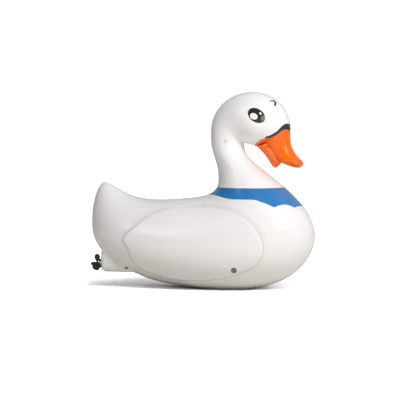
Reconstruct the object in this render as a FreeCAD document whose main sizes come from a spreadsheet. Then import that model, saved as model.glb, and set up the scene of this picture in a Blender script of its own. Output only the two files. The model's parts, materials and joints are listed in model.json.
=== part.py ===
import FreeCAD, Part
import math
import os
import re
import Sketcher

# A floating goose with two small propellers, which carries chlorine tablets in a flooded
# chamber behind a vented door in its belly. Millimetres. +X is forward, +Y is the far (left)
# side, +Z is up, and the origin is on the ground under the middle of the goose.

V = FreeCAD.Vector
doc = FreeCAD.newDocument("goose")

# The body is a row of half ellipses, like ribs, that fan from the tail round to the head. Each
# rib hangs between a point on the back and a point on the belly, both on the centre plane:
# back x, back z, belly x, belly z, half width.
RIBS = [
    (-160.0, 168.5, -165.0, 166.5, 3.0),
    (-150.5, 165.0, -172.5, 155.0, 13.0),
    (-136.0, 156.0, -178.0, 135.0, 25.5),
    (-116.5, 147.0, -180.5, 108.0, 40.0),
    (-94.0, 142.0, -176.0, 76.0, 54.5),
    (-69.5, 140.5, -152.5, 46.0, 66.5),
    (-45.5, 141.5, -108.5, 21.0, 75.0),
    (-21.0, 143.5, -50.0, 4.7, 81.0),
    (-3.0, 146.0, 14.5, -3.0, 83.0),
    (9.5, 149.5, 79.5, -0.8, 83.0),
    (18.5, 154.5, 136.0, 17.0, 80.0),
    (24.5, 161.5, 169.5, 48.5, 74.5),
    (26.5, 170.0, 180.5, 85.5, 66.5),
    (26.5, 180.5, 168.5, 121.5, 57.0),
    (24.5, 194.0, 137.5, 156.5, 45.5),
    (20.0, 208.5, 99.0, 188.0, 37.0),
    (16.0, 224.0, 74.0, 209.5, 30.5),
    (14.5, 240.5, 67.5, 224.5, 27.0),
    (15.0, 258.0, 67.5, 230.5, 27.0),
    (21.0, 277.5, 69.5, 231.0, 29.0),
    (35.5, 295.5, 72.0, 230.5, 33.5),
    (56.0, 307.5, 74.5, 230.0, 38.5),
    (79.5, 312.0, 77.5, 229.5, 41.5),
    (102.0, 308.0, 80.5, 228.5, 41.5),
    (121.5, 297.0, 83.0, 227.5, 38.5),
    (134.5, 280.5, 85.0, 226.5, 33.0),
    (140.5, 261.5, 87.0, 225.5, 26.5),
]

# The upper bill starts at the head's last rib and runs out to a blunt tip; the lower bill is
# tucked under it. The same five numbers per rib.
UPPER_BILL = [
    (140.5, 261.5, 87.0, 225.5, 26.5),
    (141.0, 253.5, 96.5, 228.0, 21.6),
    (141.0, 240.5, 100.5, 222.0, 19.8),
    (142.5, 228.0, 106.0, 215.0, 18.4),
    (147.5, 217.5, 113.5, 208.0, 18.4),
    (153.0, 210.0, 123.0, 201.5, 18.8),
    (158.5, 204.5, 134.5, 196.5, 17.8),
    (161.5, 200.5, 147.5, 192.5, 13.8),
    (162.0, 197.5, 156.5, 192.0, 6.0),
]
LOWER_BILL = [
    (110.0, 232.0, 88.5, 225.5, 20.0),
    (115.0, 225.0, 94.0, 219.5, 18.5),
    (118.0, 219.0, 100.5, 212.5, 17.0),
    (122.0, 212.0, 107.0, 203.5, 15.0),
    (127.0, 207.0, 112.3, 195.0, 12.5),
    (130.0, 203.0, 118.0, 191.5, 8.0),
]

SIZES = {
    # walls and skins
    "wall": 2.2, "gasket_thick": 1.0, "ledge_thick": 2.2, "wing_rise": 1.4, "bill_wall": 4.0,
    "spigot_reach": 5.0,
    # belly pan, seen from below
    "pan_front": 84.0, "pan_rear": -92.0, "pan_half": 38.0, "pan_corner": 9.0, "ledge_inset": 7.0,
    "ledge_outset": 4.0, "seam_gap": 0.25,
    # tablet chamber
    "mouth_front": 66.0, "mouth_rear": 2.0, "mouth_half": 25.5, "mouth_corner": 7.0,
    "chamber_top": 60.0, "chamber_wall": 2.0, "frame_front": 76.5, "frame_rear": -4.0,
    "frame_half": 30.5, "frame_top": 8.0, "tub_foot": 4.0, "tub_foot_thick": 2.0,
    # tablet door and its hinge
    "door_half": 28.0, "door_rear": 0.0, "door_lift": 0.6, "door_top": 5.0, "door_gap": 0.3,
    "hinge_x": 71.5, "hinge_z": 2.8, "barrel": 2.2, "hinge_clear": 3.0, "hinge_pin": 1.0,
    "pin_room": 1.05, "pin_half": 25.0,
    # vents
    "slot_wide": 3.2, "slot_half": 17.0, "slot_pitch": 7.0, "slot_first": 20.0, "slots": 6,
    "slider_thick": 1.5, "slider_half": 20.0, "slider_rear": 12.0, "slider_front": 61.0,
    "slider_room": 0.15, "rail_wide": 2.6, "rail_lip": 1.4, "knob_half": 3.0, "knob_long": 5.0,
    "knob_x": 8.5,
    # battery unit, in its own tilted frame
    "battery_x": -81.0, "battery_z": 18.0, "battery_tilt": 11.2, "cell_long": 50.5,
    "cell_radius": 7.2, "cell_pitch": 15.0, "pocket_long": 57.5, "pocket_half": 15.5,
    "pocket_high": 31.0, "flange_half": 27.0, "flange_end": 3.5, "flange_thick": 2.5,
    "lid_half": 25.0, "lid_end": 2.6, "lid_gap": 0.25, "lid_corner": 4.0,
    "lid_screw_in": 4.0, "lid_screw_half": 22.0,
    "hook_low": 22.3, "spring_wide": 5.0, "spring_step": 0.9, "spring_turns": 3, "contact_thick": 0.6,
    # drive line, one each side
    "drive_y": 26.0, "drive_z": 37.0, "pod_radius": 12.5, "pod_rear": -159.0, "pod_front": -96.0,
    "pod_top": 74.0, "pod_round": 7.0, "motor_radius": 10.0, "motor_flat": 7.5,
    "motor_rear": -112.0, "motor_front": -87.0, "bell_thick": 2.6, "shaft": 1.0,
    "shaft_room": 1.06, "shaft_split": -119.0, "coupling_radius": 3.0, "coupling_half": 5.0,
    "tube_radius": 2.0, "tube_rear": -162.0, "tube_front": -128.0, "seal_radius": 3.2,
    "boss_radius": 4.5, "boss_long": 12.0,
    "hub_front": -163.0, "hub_long": 11.0, "hub_radius": 3.4, "hub_tip": 4.0,
    "blade_reach": 16.3, "blade_round": 6.3, "blade_thick": 1.3, "blade_pitch": 33.0,
    "blade_x": -167.0,
    # cradle
    "cradle_top": 48.0, "cradle_half": 38.0, "cradle_rib": 14.5, "ear_rear": -121.0,
    # screw wells: low on the breast, beside the stern pods, and high on the neck
    "breast_x": 62.0, "breast_z": 35.6, "breast_well": 4.6, "breast_seat": 34.0,
    "breast_lug": 31.0, "breast_tube": 6.6, "breast_screw_long": 7.6, "breast_plug_in": 67.5,
    "stern_x": -116.0, "stern_z": 31.5, "stern_well": 3.0, "stern_seat": 34.1,
    "stern_lug": 32.4, "stern_tube": 3.9, "stern_screw_long": 4.8, "stern_plug_in": 36.0,
    "ear_face": 29.6,
    "neck_x": 41.5, "neck_z": 233.5, "neck_well": 2.8, "neck_tube": 4.6, "neck_seat": 3.0,
    "neck_screw_long": 16.0, "neck_plug_in": 22.0, "screw_head_high": 1.8,
    # power switch
    "switch_x": -13.0, "switch_y": -14.0, "switch_half_x": 5.0, "switch_half_y": 7.0,
    "switch_face": 5.8, "switch_top": 14.0,
    # receiver board
    "board_rear": 8.0, "board_front": 60.0, "board_half": 20.0, "board_thick": 1.6,
    "post_high": 4.0, "post_radius": 2.6, "post_in": 4.0, "antenna_top": 132.0,
    # ballast
    "ballast_rear": 92.0, "ballast_front": 124.0, "ballast_half": 22.0, "ballast_top": 21.0,
}

sheet = doc.addObject("Spreadsheet::Sheet", "Sizes")


def fill_sheet():
    """Write every driving size in a row of its own: its name in column A, its value in B."""
    rows = dict(SIZES)
    for family, ribs in (("rib", RIBS), ("beak", UPPER_BILL), ("jaw", LOWER_BILL)):
        for number, rib in enumerate(ribs):
            for field, number_text in zip(("back_x", "back_z", "low_x", "low_z", "half"), rib):
                rows[f"{family}_{field}_{number:02d}"] = number_text
    for row, (alias, amount) in enumerate(rows.items(), start=1):
        sheet.set(f"A{row}", alias)
        sheet.set(f"B{row}", str(amount))
        sheet.setAlias(f"B{row}", alias)
    doc.recompute()
    return set(rows)


NAMES = fill_sheet()


def words(text):
    """An expression in plain size names, with the sheet's name put before each of them."""
    return re.sub(r"[a-z][a-z_0-9]*", lambda word: "Sizes." + word.group() if word.group() in NAMES
                  else word.group(), text)


# ---------------------------------------------------------------- helpers for plain solids

def move(item, x="0", y="0", z="0"):
    """Bind an object's place to sizes."""
    for axis, text in zip("xyz", (x, y, z)):
        item.setExpression("Placement.Base." + axis, words(text))
    return item


def block(name, x, y, z):
    """A box between a low and a high expression along each axis."""
    item = doc.addObject("Part::Box", name)
    for side, (low, high) in zip(("Length", "Width", "Height"), (x, y, z)):
        item.setExpression(side, words(f"({high}) - ({low})"))
    return move(item, x[0], y[0], z[0])


TURNS = {"x": (V(0, 1, 0), 90), "y": (V(1, 0, 0), -90), "z": (V(0, 0, 1), 0)}


def rod(name, along, radius, span, first, second, tip=None):
    """A cylinder along one axis, or a cone if it has a tip radius. First and second are its
    centre on the other two axes, in x, y, z order."""
    item = doc.addObject("Part::Cone" if tip else "Part::Cylinder", name)
    if tip:
        item.setExpression("Radius1", words(radius))
        item.setExpression("Radius2", words(tip))
    else:
        item.setExpression("Radius", words(radius))
    item.setExpression("Height", words(f"({span[1]}) - ({span[0]})"))
    item.Placement = FreeCAD.Placement(V(), FreeCAD.Rotation(*TURNS[along]))
    places = [first, second]
    places.insert("xyz".index(along), span[0])
    return move(item, *places)


def joined(name, *pieces):
    item = doc.addObject("Part::MultiFuse", name)
    item.Shapes = list(pieces)
    item.Refine = True
    return item


def shared(name, *pieces):
    item = doc.addObject("Part::MultiCommon", name)
    item.Shapes = list(pieces)
    return item


def without(name, base, *tools):
    """The base with the tools cut away: a pair in turn, and more than two at once."""
    if len(tools) > 2:
        tools = [joined(name + "_tools", *tools)]
    for number, tool in enumerate(tools):
        item = doc.addObject("Part::Cut", name if number == len(tools) - 1 else f"{name}_{number}")
        item.Base = base
        item.Tool = tool
        base = item
    return base


def group(name, *pieces):
    item = doc.addObject("Part::Compound", name)
    item.Links = list(pieces)
    return item


def mirrored(name, piece):
    item = doc.addObject("Part::Mirroring", name)
    item.Source = piece
    item.Normal = V(0, 1, 0)
    return item


def both_sides(name, half):
    """A half on the near side joined to its mirror image."""
    return joined(name, half, mirrored(name + "_far", half))


def rounded(name, x, y, z, corner, along="z"):
    """A box whose four edges along one axis are rounded."""
    box = block(name + "_box", x, y, z)
    doc.recompute()
    item = doc.addObject("Part::Fillet", name)
    item.Base = box
    direction = {"x": V(1, 0, 0), "y": V(0, 1, 0), "z": V(0, 0, 1)}[along]
    edges = []
    for number, edge in enumerate(box.Shape.Edges, start=1):
        if abs(edge.tangentAt(edge.FirstParameter).dot(direction)) > 0.99:
            edges.append((number, corner, corner))
    item.Edges = edges
    return item


def tilted(name, item):
    """A copy of an object, carried into the tilted frame of the battery unit."""
    copy = group(name, item)
    turn = "create(<<rotation>>; create(<<vector>>; 0; 1; 0); battery_tilt)"
    base = "create(<<vector>>; battery_x; 0; battery_z)"
    copy.setExpression("Placement", words(f"create(<<placement>>; {base}; {turn})"))
    return copy


# ---------------------------------------------------------------- the ribbed hull

def rib(name, family, number, values, inset, inset_text, over):
    """A half ellipse on one rib's plane, closed by a straight stretch past the centre plane."""
    back_x, back_z, low_x, low_z, half = values
    span = math.hypot(back_x - low_x, back_z - low_z) / 2 - inset
    girth = half - inset
    sketch = doc.addObject("Sketcher::SketchObject", name)
    if span >= girth:
        arc = Part.ArcOfEllipse(Part.Ellipse(V(span, 0, 0), V(0, girth, 0), V()), 0, math.pi)
        upright = 5
    else:
        arc = Part.ArcOfEllipse(Part.Ellipse(V(0, girth, 0), V(-span, 0, 0), V()),
                                -math.pi / 2, math.pi / 2)
        upright = 4
    sketch.addGeometry([
        arc,
        Part.LineSegment(V(-span, 0, 0), V(-span, -over, 0)),
        Part.LineSegment(V(-span, -over, 0), V(span, -over, 0)),
        Part.LineSegment(V(span, -over, 0), V(span, 0, 0)),
    ], False)
    sketch.exposeInternalGeometry(0)
    rule = Sketcher.Constraint
    sketch.addConstraint([
        rule("Coincident", 0, 3, -1, 1), rule("Coincident", 0, 2, 1, 1),
        rule("Coincident", 1, 2, 2, 1), rule("Coincident", 2, 2, 3, 1),
        rule("Coincident", 3, 2, 0, 1), rule("Vertical", 1), rule("Vertical", 3),
        rule("Horizontal", 2), rule("PointOnObject", 0, 1, -1), rule("PointOnObject", 0, 2, -1),
        rule("DistanceX", 0, 2, 0, 1, 2 * span), rule("DistanceY", 1, 2, 1, 1, over),
        rule("Distance", upright, 2 * girth),
    ])
    last = sketch.ConstraintCount
    sketch.renameConstraint(last - 3, "span")
    sketch.renameConstraint(last - 1, "girth")
    key = f"{number:02d}"
    run = words(f"({family}_back_x_{key} - {family}_low_x_{key})")
    rise = words(f"({family}_back_z_{key} - {family}_low_z_{key})")
    inset_words = words(inset_text)
    sketch.setExpression("Constraints.span",
                         f"(sqrt({run}^2 + {rise}^2) - 2 * ({inset_words})) * 1mm")
    sketch.setExpression("Constraints.girth",
                         words(f"2 * ({family}_half_{key} - ({inset_text})) * 1mm"))
    middle = words(f"create(<<vector>>; ({family}_back_x_{key} + {family}_low_x_{key}) / 2; 0; "
                   f"({family}_back_z_{key} + {family}_low_z_{key}) / 2)")
    tilt = f"atan2({rise}; {run}) / 2"
    turn = f"create(<<rotation>>; create(<<vector>>; cos({tilt}); 0; sin({tilt})); 180)"
    sketch.setExpression("Placement", f"create(<<placement>>; {middle}; {turn})")
    return sketch


THINNEST = 1.2


def half_hull(name, ribs=RIBS, family="rib", inset=0.0, inset_text="0", over=2.0, count=None,
              ruled=False):
    """The near half of a ribbed form, drawn in by an inset, and a little past the centre plane.
    A skin that nobody sees is ruled from rib to rib, which keeps its facets few."""
    sections = []
    for number, values in enumerate(ribs[:count]):
        if values[4] - inset > THINNEST:
            sketch = rib(f"{name}_{number:02d}", family, number, values, inset, inset_text, over)
            sections.append(sketch)
    item = doc.addObject("Part::Loft", name)
    item.Sections = sections
    item.Solid = True
    item.Ruled = ruled
    return item


FAR = "400"
wall = SIZES["wall"]
skin_outer = half_hull("skin_outer")
skin_wing = half_hull("skin_wing", inset=-SIZES["wing_rise"], inset_text="0 - wing_rise")
skin_inner = half_hull("skin_inner", inset=wall, inset_text="wall", over=3.0, ruled=True)
gasket_inset = wall + SIZES["gasket_thick"]
skin_gasket = half_hull("skin_gasket", inset=gasket_inset, inset_text="wall + gasket_thick",
                        over=3.0, ruled=True)
ledge_inset = gasket_inset + SIZES["ledge_thick"]
skin_ledge = half_hull("skin_ledge", inset=ledge_inset,
                       inset_text="wall + gasket_thick + ledge_thick", over=3.0, ruled=True)

# The belly is flattened where the goose stands, so each skin stops at a level of its own.
outer = shared("outer", skin_outer,
               block("outer_room", ("-" + FAR, FAR), ("-" + FAR, "0"), ("0", FAR)))
cavity = shared("cavity", skin_inner,
                block("cavity_room", ("-" + FAR, FAR), ("-" + FAR, "5"), ("wall", FAR)))
gasket_level = shared("gasket_level", skin_gasket,
                      block("gasket_room", ("-" + FAR, FAR), ("-" + FAR, "5"),
                            ("wall + gasket_thick", FAR)))
ledge_level = shared("ledge_level", skin_ledge,
                     block("ledge_room", ("-" + FAR, FAR), ("-" + FAR, "5"),
                           ("wall + gasket_thick + ledge_thick", FAR)))


def pan_outline(name, outset, corner):
    """The pan's outline from below, standing the outset further out, as a tall prism."""
    return rounded(name, (f"pan_rear - ({outset})", f"pan_front + ({outset})"),
                   (f"-pan_half - ({outset})", f"pan_half + ({outset})"), ("-10", "40"), corner)


corner = SIZES["pan_corner"]


def stern_pod(name, grow, front, rear, top):
    """The fairing round one propeller shaft: a round keel with straight sides above it."""
    radius = f"pod_radius - ({grow})"
    keel = rod(name + "_keel", "x", radius, (rear, front), "-drive_y", "drive_z")
    sides = block(name + "_sides", (rear, front), (f"-drive_y - ({radius})", f"-drive_y + {radius}"),
                  ("drive_z", top))
    return joined(name, keel, sides)


def wing_panel():
    """The raised wing on the near side: a leaf-shaped outline, pushed out of the hull's skin."""
    outline = [(-114, 80), (-110, 88), (-103, 94), (-93, 102), (-83, 111), (-72.5, 117.5),
               (-56, 124.5), (-38, 129.5), (-10, 131.5), (39, 129), (64, 123), (83, 111.5),
               (97, 96.5), (105, 82), (106.5, 67), (98, 48), (79, 35), (39, 22), (-9, 18),
               (-39, 18.6), (-74.5, 27.5), (-94, 39.5), (-103, 54), (-105.5, 66), (-112, 75)]
    curve = Part.BSplineCurve()
    curve.interpolate([V(x, -20, z) for x, z in outline], PeriodicFlag=True)
    line = doc.addObject("Part::Feature", "wing_outline")
    line.Shape = curve.toShape()
    leaf = doc.addObject("Part::Extrusion", "wing_leaf")
    leaf.Base = line
    leaf.DirMode = "Custom"
    leaf.Dir = V(0, -1, 0)
    leaf.LengthFwd = 90
    leaf.Solid = True
    return shared("wing_panel", skin_wing, leaf)


def hull_half():
    """Everything that both shells have: skin, wing, stern pod, ledge round the pan, and wells."""
    raw_pod = stern_pod("pod", "0", "pod_front", "pod_rear", "pod_top")
    doc.recompute()
    pod = doc.addObject("Part::Fillet", "pod_rounded")
    pod.Base = raw_pod
    back = SIZES["pod_rear"]
    rounding = []
    for number, edge in enumerate(raw_pod.Shape.Edges, start=1):
        box = edge.BoundBox
        if box.XMax < back + 0.01 and box.ZMin < SIZES["pod_top"] - 0.1:
            rounding.append((number, SIZES["pod_round"], SIZES["pod_round"]))
    pod.Edges = rounding
    solid = joined("hull_solid", outer, wing_panel(), pod)
    pod_room = stern_pod("pod_room", "wall", "motor_front + bell_thick + 1", "pod_rear + wall", "60")
    hollow = without("hull_hollow", solid, joined("hull_room", cavity, pod_room))
    hole = pan_outline("pan_hole", "0", corner)
    open_hull = without("hull_open", hollow, hole)
    rim_outer = pan_outline("rim_outer", "ledge_outset", corner + 3)
    rim_inner = pan_outline("rim_inner", "0 - ledge_inset", corner - 3)
    rim_stock = shared("rim_stock", cavity, rim_outer,
                       block("rim_side", ("-" + FAR, FAR), ("-" + FAR, "0"), ("0", "40")))
    rim_hollow = without("rim_hollow", rim_stock, ledge_level, rim_inner)
    seat = pan_outline("seat_prism", "0", corner)
    seat_room = without("seat_room", shared("seat_stock", seat, skin_outer), gasket_level)
    ledge = without("ledge", rim_hollow, seat_room)
    tubes = joined(
        "well_tubes",
        rod("breast_tube_rod", "y", "breast_tube", ("-90", "-breast_lug"), "breast_x", "breast_z"),
        rod("stern_tube_rod", "y", "stern_tube", ("-60", "-stern_lug"), "stern_x", "stern_z"),
        rod("shaft_boss_rod", "x", "boss_radius", ("pod_rear", "pod_rear + boss_long"),
            "-drive_y", "drive_z"))
    trimmed = shared("tubes_trimmed", tubes, solid)
    full = joined("hull_full", open_hull, ledge, trimmed)
    return without(
        "hull_half", full,
        rod("breast_well_rod", "y", "breast_well", ("-95", "-breast_seat"), "breast_x", "breast_z"),
        rod("breast_hole_rod", "y", "1.6", ("-40", "-20"), "breast_x", "breast_z"),
        rod("stern_well_rod", "y", "stern_well", ("-60", "-stern_seat"), "stern_x", "stern_z"),
        rod("stern_hole_rod", "y", "1.2", ("-40", "-25"), "stern_x", "stern_z"),
        rod("tube_hole_rod", "x", "tube_radius", ("pod_rear - 5", "pod_rear + boss_long + 5"),
            "-drive_y", "drive_z"))


half = hull_half()
NODES = {}


def keep(label, item):
    """Register a finished sub-part under the name of its node."""
    item.Label = label
    NODES[label] = item
    return item


def shells():
    """The two shells meet on the centre plane. A screw high on the neck pulls them together:
    its well is in the near shell, and its thread is in a boss of the far one."""
    neck_tube = rod("neck_tube_rod", "y", "neck_tube", ("-40", "0"), "neck_x", "neck_z")
    near = joined("near_full", half, shared("neck_tube_trim", neck_tube, outer))
    near_shell = without(
        "right_shell", near,
        rod("neck_well_rod", "y", "neck_well", ("-60", "-neck_seat"), "neck_x", "neck_z"),
        rod("neck_hole_rod", "y", "1.4", ("-10", "5"), "neck_x", "neck_z"))
    far = joined("far_full", mirrored("half_far", half),
                 mirrored("neck_boss_far", shared("neck_boss", neck_tube, outer)))
    far_shell = without("left_shell", far,
                        rod("neck_thread_rod", "y", "1.1", ("-1", "16"), "neck_x", "neck_z"))
    keep("right_shell", near_shell)
    keep("left_shell", far_shell)


def bill():
    """One orange moulding: upper and lower bill, hollow behind, with a spigot into the head."""
    upper = half_hull("beak_skin", UPPER_BILL, "beak")
    lower = half_hull("jaw_skin", LOWER_BILL, "jaw")
    space = half_hull("beak_space", UPPER_BILL, "beak", SIZES["bill_wall"], "bill_wall", 3.0,
                      count=7)
    near = block("bill_room", ("50", "200"), ("-50", "0"), ("150", "320"))
    face = math.degrees(math.atan2(RIBS[-1][1] - RIBS[-1][3], RIBS[-1][0] - RIBS[-1][2]))
    slab = doc.addObject("Part::Box", "spigot_slab")
    slab.Length = 120
    slab.Width = 60
    slab.setExpression("Height", words("spigot_reach"))
    low = V(RIBS[-1][2], -60, RIBS[-1][3])
    turn = FreeCAD.Rotation(V(0, 1, 0), -face)
    slab.Placement = FreeCAD.Placement(low, turn)
    spigot = without("spigot", shared("spigot_stock", cavity, slab), ledge_level)
    form = without("bill_form", joined("bill_solid", upper, lower), outer, space)
    halfway = shared("bill_half", joined("bill_stock", form, spigot), near)
    keep("bill", both_sides("bill", halfway))


mouth = rounded("mouth_prism", ("mouth_rear", "mouth_front"), ("-mouth_half", "mouth_half"),
                ("-5", "chamber_top"), SIZES["mouth_corner"])


def belly_pan():
    """The plate in the belly's opening, with the tablets' mouth and the battery pocket in it."""
    trim = SIZES["seam_gap"]
    outline = pan_outline("pan_prism", "0 - seam_gap", corner - trim)
    skin = without("pan_skin", shared("pan_stock", outer, outline), cavity)
    frame_block = rounded("frame_block", ("frame_rear", "frame_front"),
                          ("-frame_half", "frame_half"), ("-2", "frame_top"), 4)
    frame = shared("tablet_frame", frame_block, outer)
    flange = rounded("flange_block", ("0 - flange_end", "pocket_long + flange_end"),
                     ("-flange_half", "flange_half"),
                     ("0 - 12", "1 + flange_thick"), 4)
    flange_half = shared("flange_half_part", tilted("flange_tilted", flange), outer)
    pocket = rounded("pocket_block", ("-chamber_wall", "pocket_long + chamber_wall"),
                     ("-pocket_half - chamber_wall", "pocket_half + chamber_wall"),
                     ("1", "1 + pocket_high + chamber_wall"), 3)
    pocket_half = shared("pocket_half_part", tilted("pocket_tilted", pocket),
                         block("pocket_side", ("-" + FAR, FAR), ("-" + FAR, "0"), ("0", FAR)))
    bosses = []
    for end, place in (("rear", "lid_screw_in"), ("front", "pocket_long - lid_screw_in")):
        post = rod(f"lid_boss_{end}", "z", "3.4", ("1", "12"), place, "-lid_screw_half")
        bosses.append(post)
    lid_bosses = tilted("lid_bosses", joined("lid_boss_pair", *bosses))
    hook = block("hook_block", ("battery_x - 10", "battery_x"), ("-8", "0"),
                 ("hook_low", "hook_low + 2.4"))
    stock = joined("pan_stock_half", skin, frame, flange_half, pocket_half, lid_bosses, hook)
    doorway = rounded("doorway_prism", ("door_rear - door_gap", "hinge_x + hinge_clear"),
                      ("-door_half - door_gap", "door_half + door_gap"), ("-5", "door_top + 0.2"), 2)
    pocket_room = tilted("pocket_room", rounded(
        "pocket_room_block", ("0", "pocket_long"), ("-pocket_half", "pocket_half"),
        ("-15", "1 + pocket_high"), 2))
    lid_room = tilted("lid_room", rounded(
        "lid_room_block", ("-lid_end - lid_gap", "pocket_long + lid_end + lid_gap"),
        ("-lid_half - lid_gap", "lid_half + lid_gap"), ("-20", "1"), SIZES["lid_corner"]))
    threads = []
    for end, place in (("rear", "lid_screw_in"), ("front", "pocket_long - lid_screw_in")):
        threads.append(rod(f"lid_thread_{end}", "z", "1.3", ("-5", "10"), place,
                           "-lid_screw_half"))
    thread_pair = tilted("lid_threads", joined("lid_thread_pair", *threads))
    near = without("pan_near", stock, mouth, doorway, pocket_room, lid_room, thread_pair)
    whole = both_sides("pan_whole", near)
    knuckles = hinge_knuckles("pan", (("-pin_half", "-18.8"), ("-7.4", "7.4"), ("18.8", "pin_half")),
                              ("hinge_x", "hinge_x + hinge_clear + 1"), ("door_lift", "door_top + 0.6"))
    window = block("switch_window", ("switch_x - switch_half_x", "switch_x + switch_half_x"),
                   ("switch_y - switch_half_y", "switch_y + switch_half_y"), ("-5", "switch_face"))
    collar = shared("switch_collar", outer,
                    rounded("switch_collar_block",
                            ("switch_x - switch_half_x - 2", "switch_x + switch_half_x + 2"),
                            ("switch_y - switch_half_y - 2", "switch_y + switch_half_y + 2"),
                            ("-5", "switch_face"), 2))
    full = joined("pan_full", whole, knuckles, collar)
    pin_hole = rod("pin_hole_pan", "y", "hinge_pin", ("-pin_half - 1", "pin_half + 1"),
                   "hinge_x", "hinge_z")
    keep("belly_pan", without("belly_pan", full, window, pin_hole))


def tablet_tub():
    """The tablet chamber: a tub upside down over the mouth, its foot welded to the pan's frame.
    Lugs on its sides take the breast screws, and posts on its roof carry the board."""
    def around(name, out, low, high):
        return rounded(name, (f"mouth_rear - {out}", f"mouth_front + {out}"),
                       (f"-mouth_half - {out}", f"mouth_half + {out}"), (low, high),
                       SIZES["mouth_corner"] + SIZES[out])

    walls = around("tub_walls", "chamber_wall", "frame_top", "chamber_top + chamber_wall")
    foot = around("tub_foot_ring", "tub_foot", "frame_top", "frame_top + tub_foot_thick")
    lug = rod("lug_rod", "y", "5", ("-breast_lug", "-20"), "breast_x", "breast_z")
    posts = []
    for end, place in (("rear", "board_rear + post_in"), ("front", "board_front - post_in")):
        posts.append(rod(f"post_{end}", "z", "post_radius",
                         ("chamber_top + chamber_wall", "chamber_top + chamber_wall + post_high"),
                         place, "post_in - board_half"))
    stock = shared("tub_half", joined("tub_stock", walls, foot, lug, *posts),
                   block("tub_side", ("-" + FAR, FAR), ("-" + FAR, "0"), ("0", FAR)))
    lug_hole = rod("lug_hole", "y", "1.2", ("-breast_lug - 1", "0 - mouth_half - 0.5"),
                   "breast_x", "breast_z")
    keep("tablet_tub", both_sides("tablet_tub", without("tub_near", stock, mouth, lug_hole)))


def hinge_knuckles(name, spans, web_x, web_z):
    """Barrels on the hinge line, each with a web that reaches towards its own side."""
    pieces = []
    for number, span in enumerate(spans):
        pieces.append(rod(f"{name}_barrel_{number}", "y", "barrel", span, "hinge_x", "hinge_z"))
        pieces.append(block(f"{name}_web_{number}", web_x, span, web_z))
    return joined(f"{name}_knuckles", *pieces)


def pan_gasket():
    """A flat rubber ring between the pan's rim and the shells' ledge."""
    ring_outer = pan_outline("gasket_outer", "0 - 3", corner - 2)
    ring_inner = pan_outline("gasket_inner", "0.4 - ledge_inset", corner - 3)
    stock = shared("gasket_stock", cavity, ring_outer,
                   block("gasket_side", ("-" + FAR, FAR), ("-" + FAR, "0"), ("0", "40")))
    ring = without("gasket_half", stock, gasket_level, ring_inner)
    keep("pan_gasket", both_sides("pan_gasket", ring))


def vent_slots(name, low, high, shift):
    """A row of cross slots through the door or the slider."""
    first = block(f"{name}_slot", (f"slot_first + {shift}", f"slot_first + {shift} + slot_wide"),
                  ("-slot_half", "slot_half"), (low, high))
    copies = [first]
    for number in range(1, SIZES["slots"]):
        place = f"slot_first + {shift} + {number} * slot_pitch"
        copies.append(block(f"{name}_slot_{number}", (place, f"{place} + slot_wide"),
                            ("-slot_half", "slot_half"), (low, high)))
    return joined(f"{name}_slots", *copies)


def tablet_door():
    """The vented door: flush with the belly, hinged at its front edge, with rails for the vent."""
    prism = rounded("door_prism", ("door_rear", "hinge_x"), ("-door_half", "door_half"),
                    ("door_lift", "door_top"), 1.6)
    plate = shared("door_plate", outer, prism)
    run = ("slider_rear - 3", "slider_front + 3")
    inside = "-(slider_half + slider_room)"
    top = "door_top + slider_thick + 1.6"
    rail = block("rail", run, (f"{inside} - rail_wide", inside), ("door_top - 0.5", top))
    lip = block("rail_lip", run, (inside, f"{inside} + rail_lip"),
                ("door_top + slider_thick + 0.3", top))
    full = both_sides("door_full", joined("door_near", plate, rail, lip))
    notch_pieces = []
    for number, span in enumerate((("-door_half - 1", "-18.5"), ("-7.7", "7.7"),
                                   ("18.5", "door_half + 1"))):
        notch_pieces.append(block(f"door_notch_{number}", ("hinge_x - barrel - 0.4", "hinge_x + 5"),
                                  span, ("-5", "door_top + 0.05")))
    notched = without("door_notched", full, joined("door_notches", *notch_pieces))
    barrels = hinge_knuckles("door", (("-18.5", "-7.7"), ("7.7", "18.5")),
                             ("hinge_x - 6", "hinge_x"), ("door_lift", "door_top"))
    solid = joined("door_solid", notched, barrels)
    slots = vent_slots("door", "-5", "door_top + 0.05", "0")
    window = block("knob_window", ("knob_x", "knob_x + knob_long + 3.8"),
                   ("-knob_half - 0.2", "knob_half + 0.2"), ("-5", "door_top + 0.05"))
    pin_hole = rod("pin_hole_door", "y", "pin_room", ("-pin_half - 1", "pin_half + 1"),
                   "hinge_x", "hinge_z")
    notch = rod("nail_notch", "y", "3.4", ("-8", "8"), "door_rear", "0 - 1.4")
    keep("tablet_door", without("tablet_door", solid, slots, window, pin_hole, notch))
    keep("hinge_pin", rod("hinge_pin_rod", "y", "hinge_pin", ("-pin_half", "pin_half"),
                          "hinge_x", "hinge_z"))


def vent_slider():
    """The slotted plate that slides on the door and opens or shuts its slots, with a knob
    that reaches out through a window."""
    low = "door_top + slider_room"
    high = "door_top + slider_room + slider_thick - 0.1"
    plate = block("slider_plate", ("slider_rear", "slider_front"), ("-slider_half", "slider_half"),
                  (low, high))
    slotted = without("slider_slotted", plate, vent_slots("slider", "door_top", "door_top + 5", "0"))
    knob = block("slider_knob", ("knob_x + 0.3", "knob_x + knob_long"), ("-knob_half", "knob_half"),
                 ("door_lift + 0.6", high))
    keep("vent_slider", joined("vent_slider", slotted, knob,
                               block("slider_foot", ("knob_x + 0.3", "slider_rear + 2"),
                                     ("-knob_half", "knob_half"), (low, high))))


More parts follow.
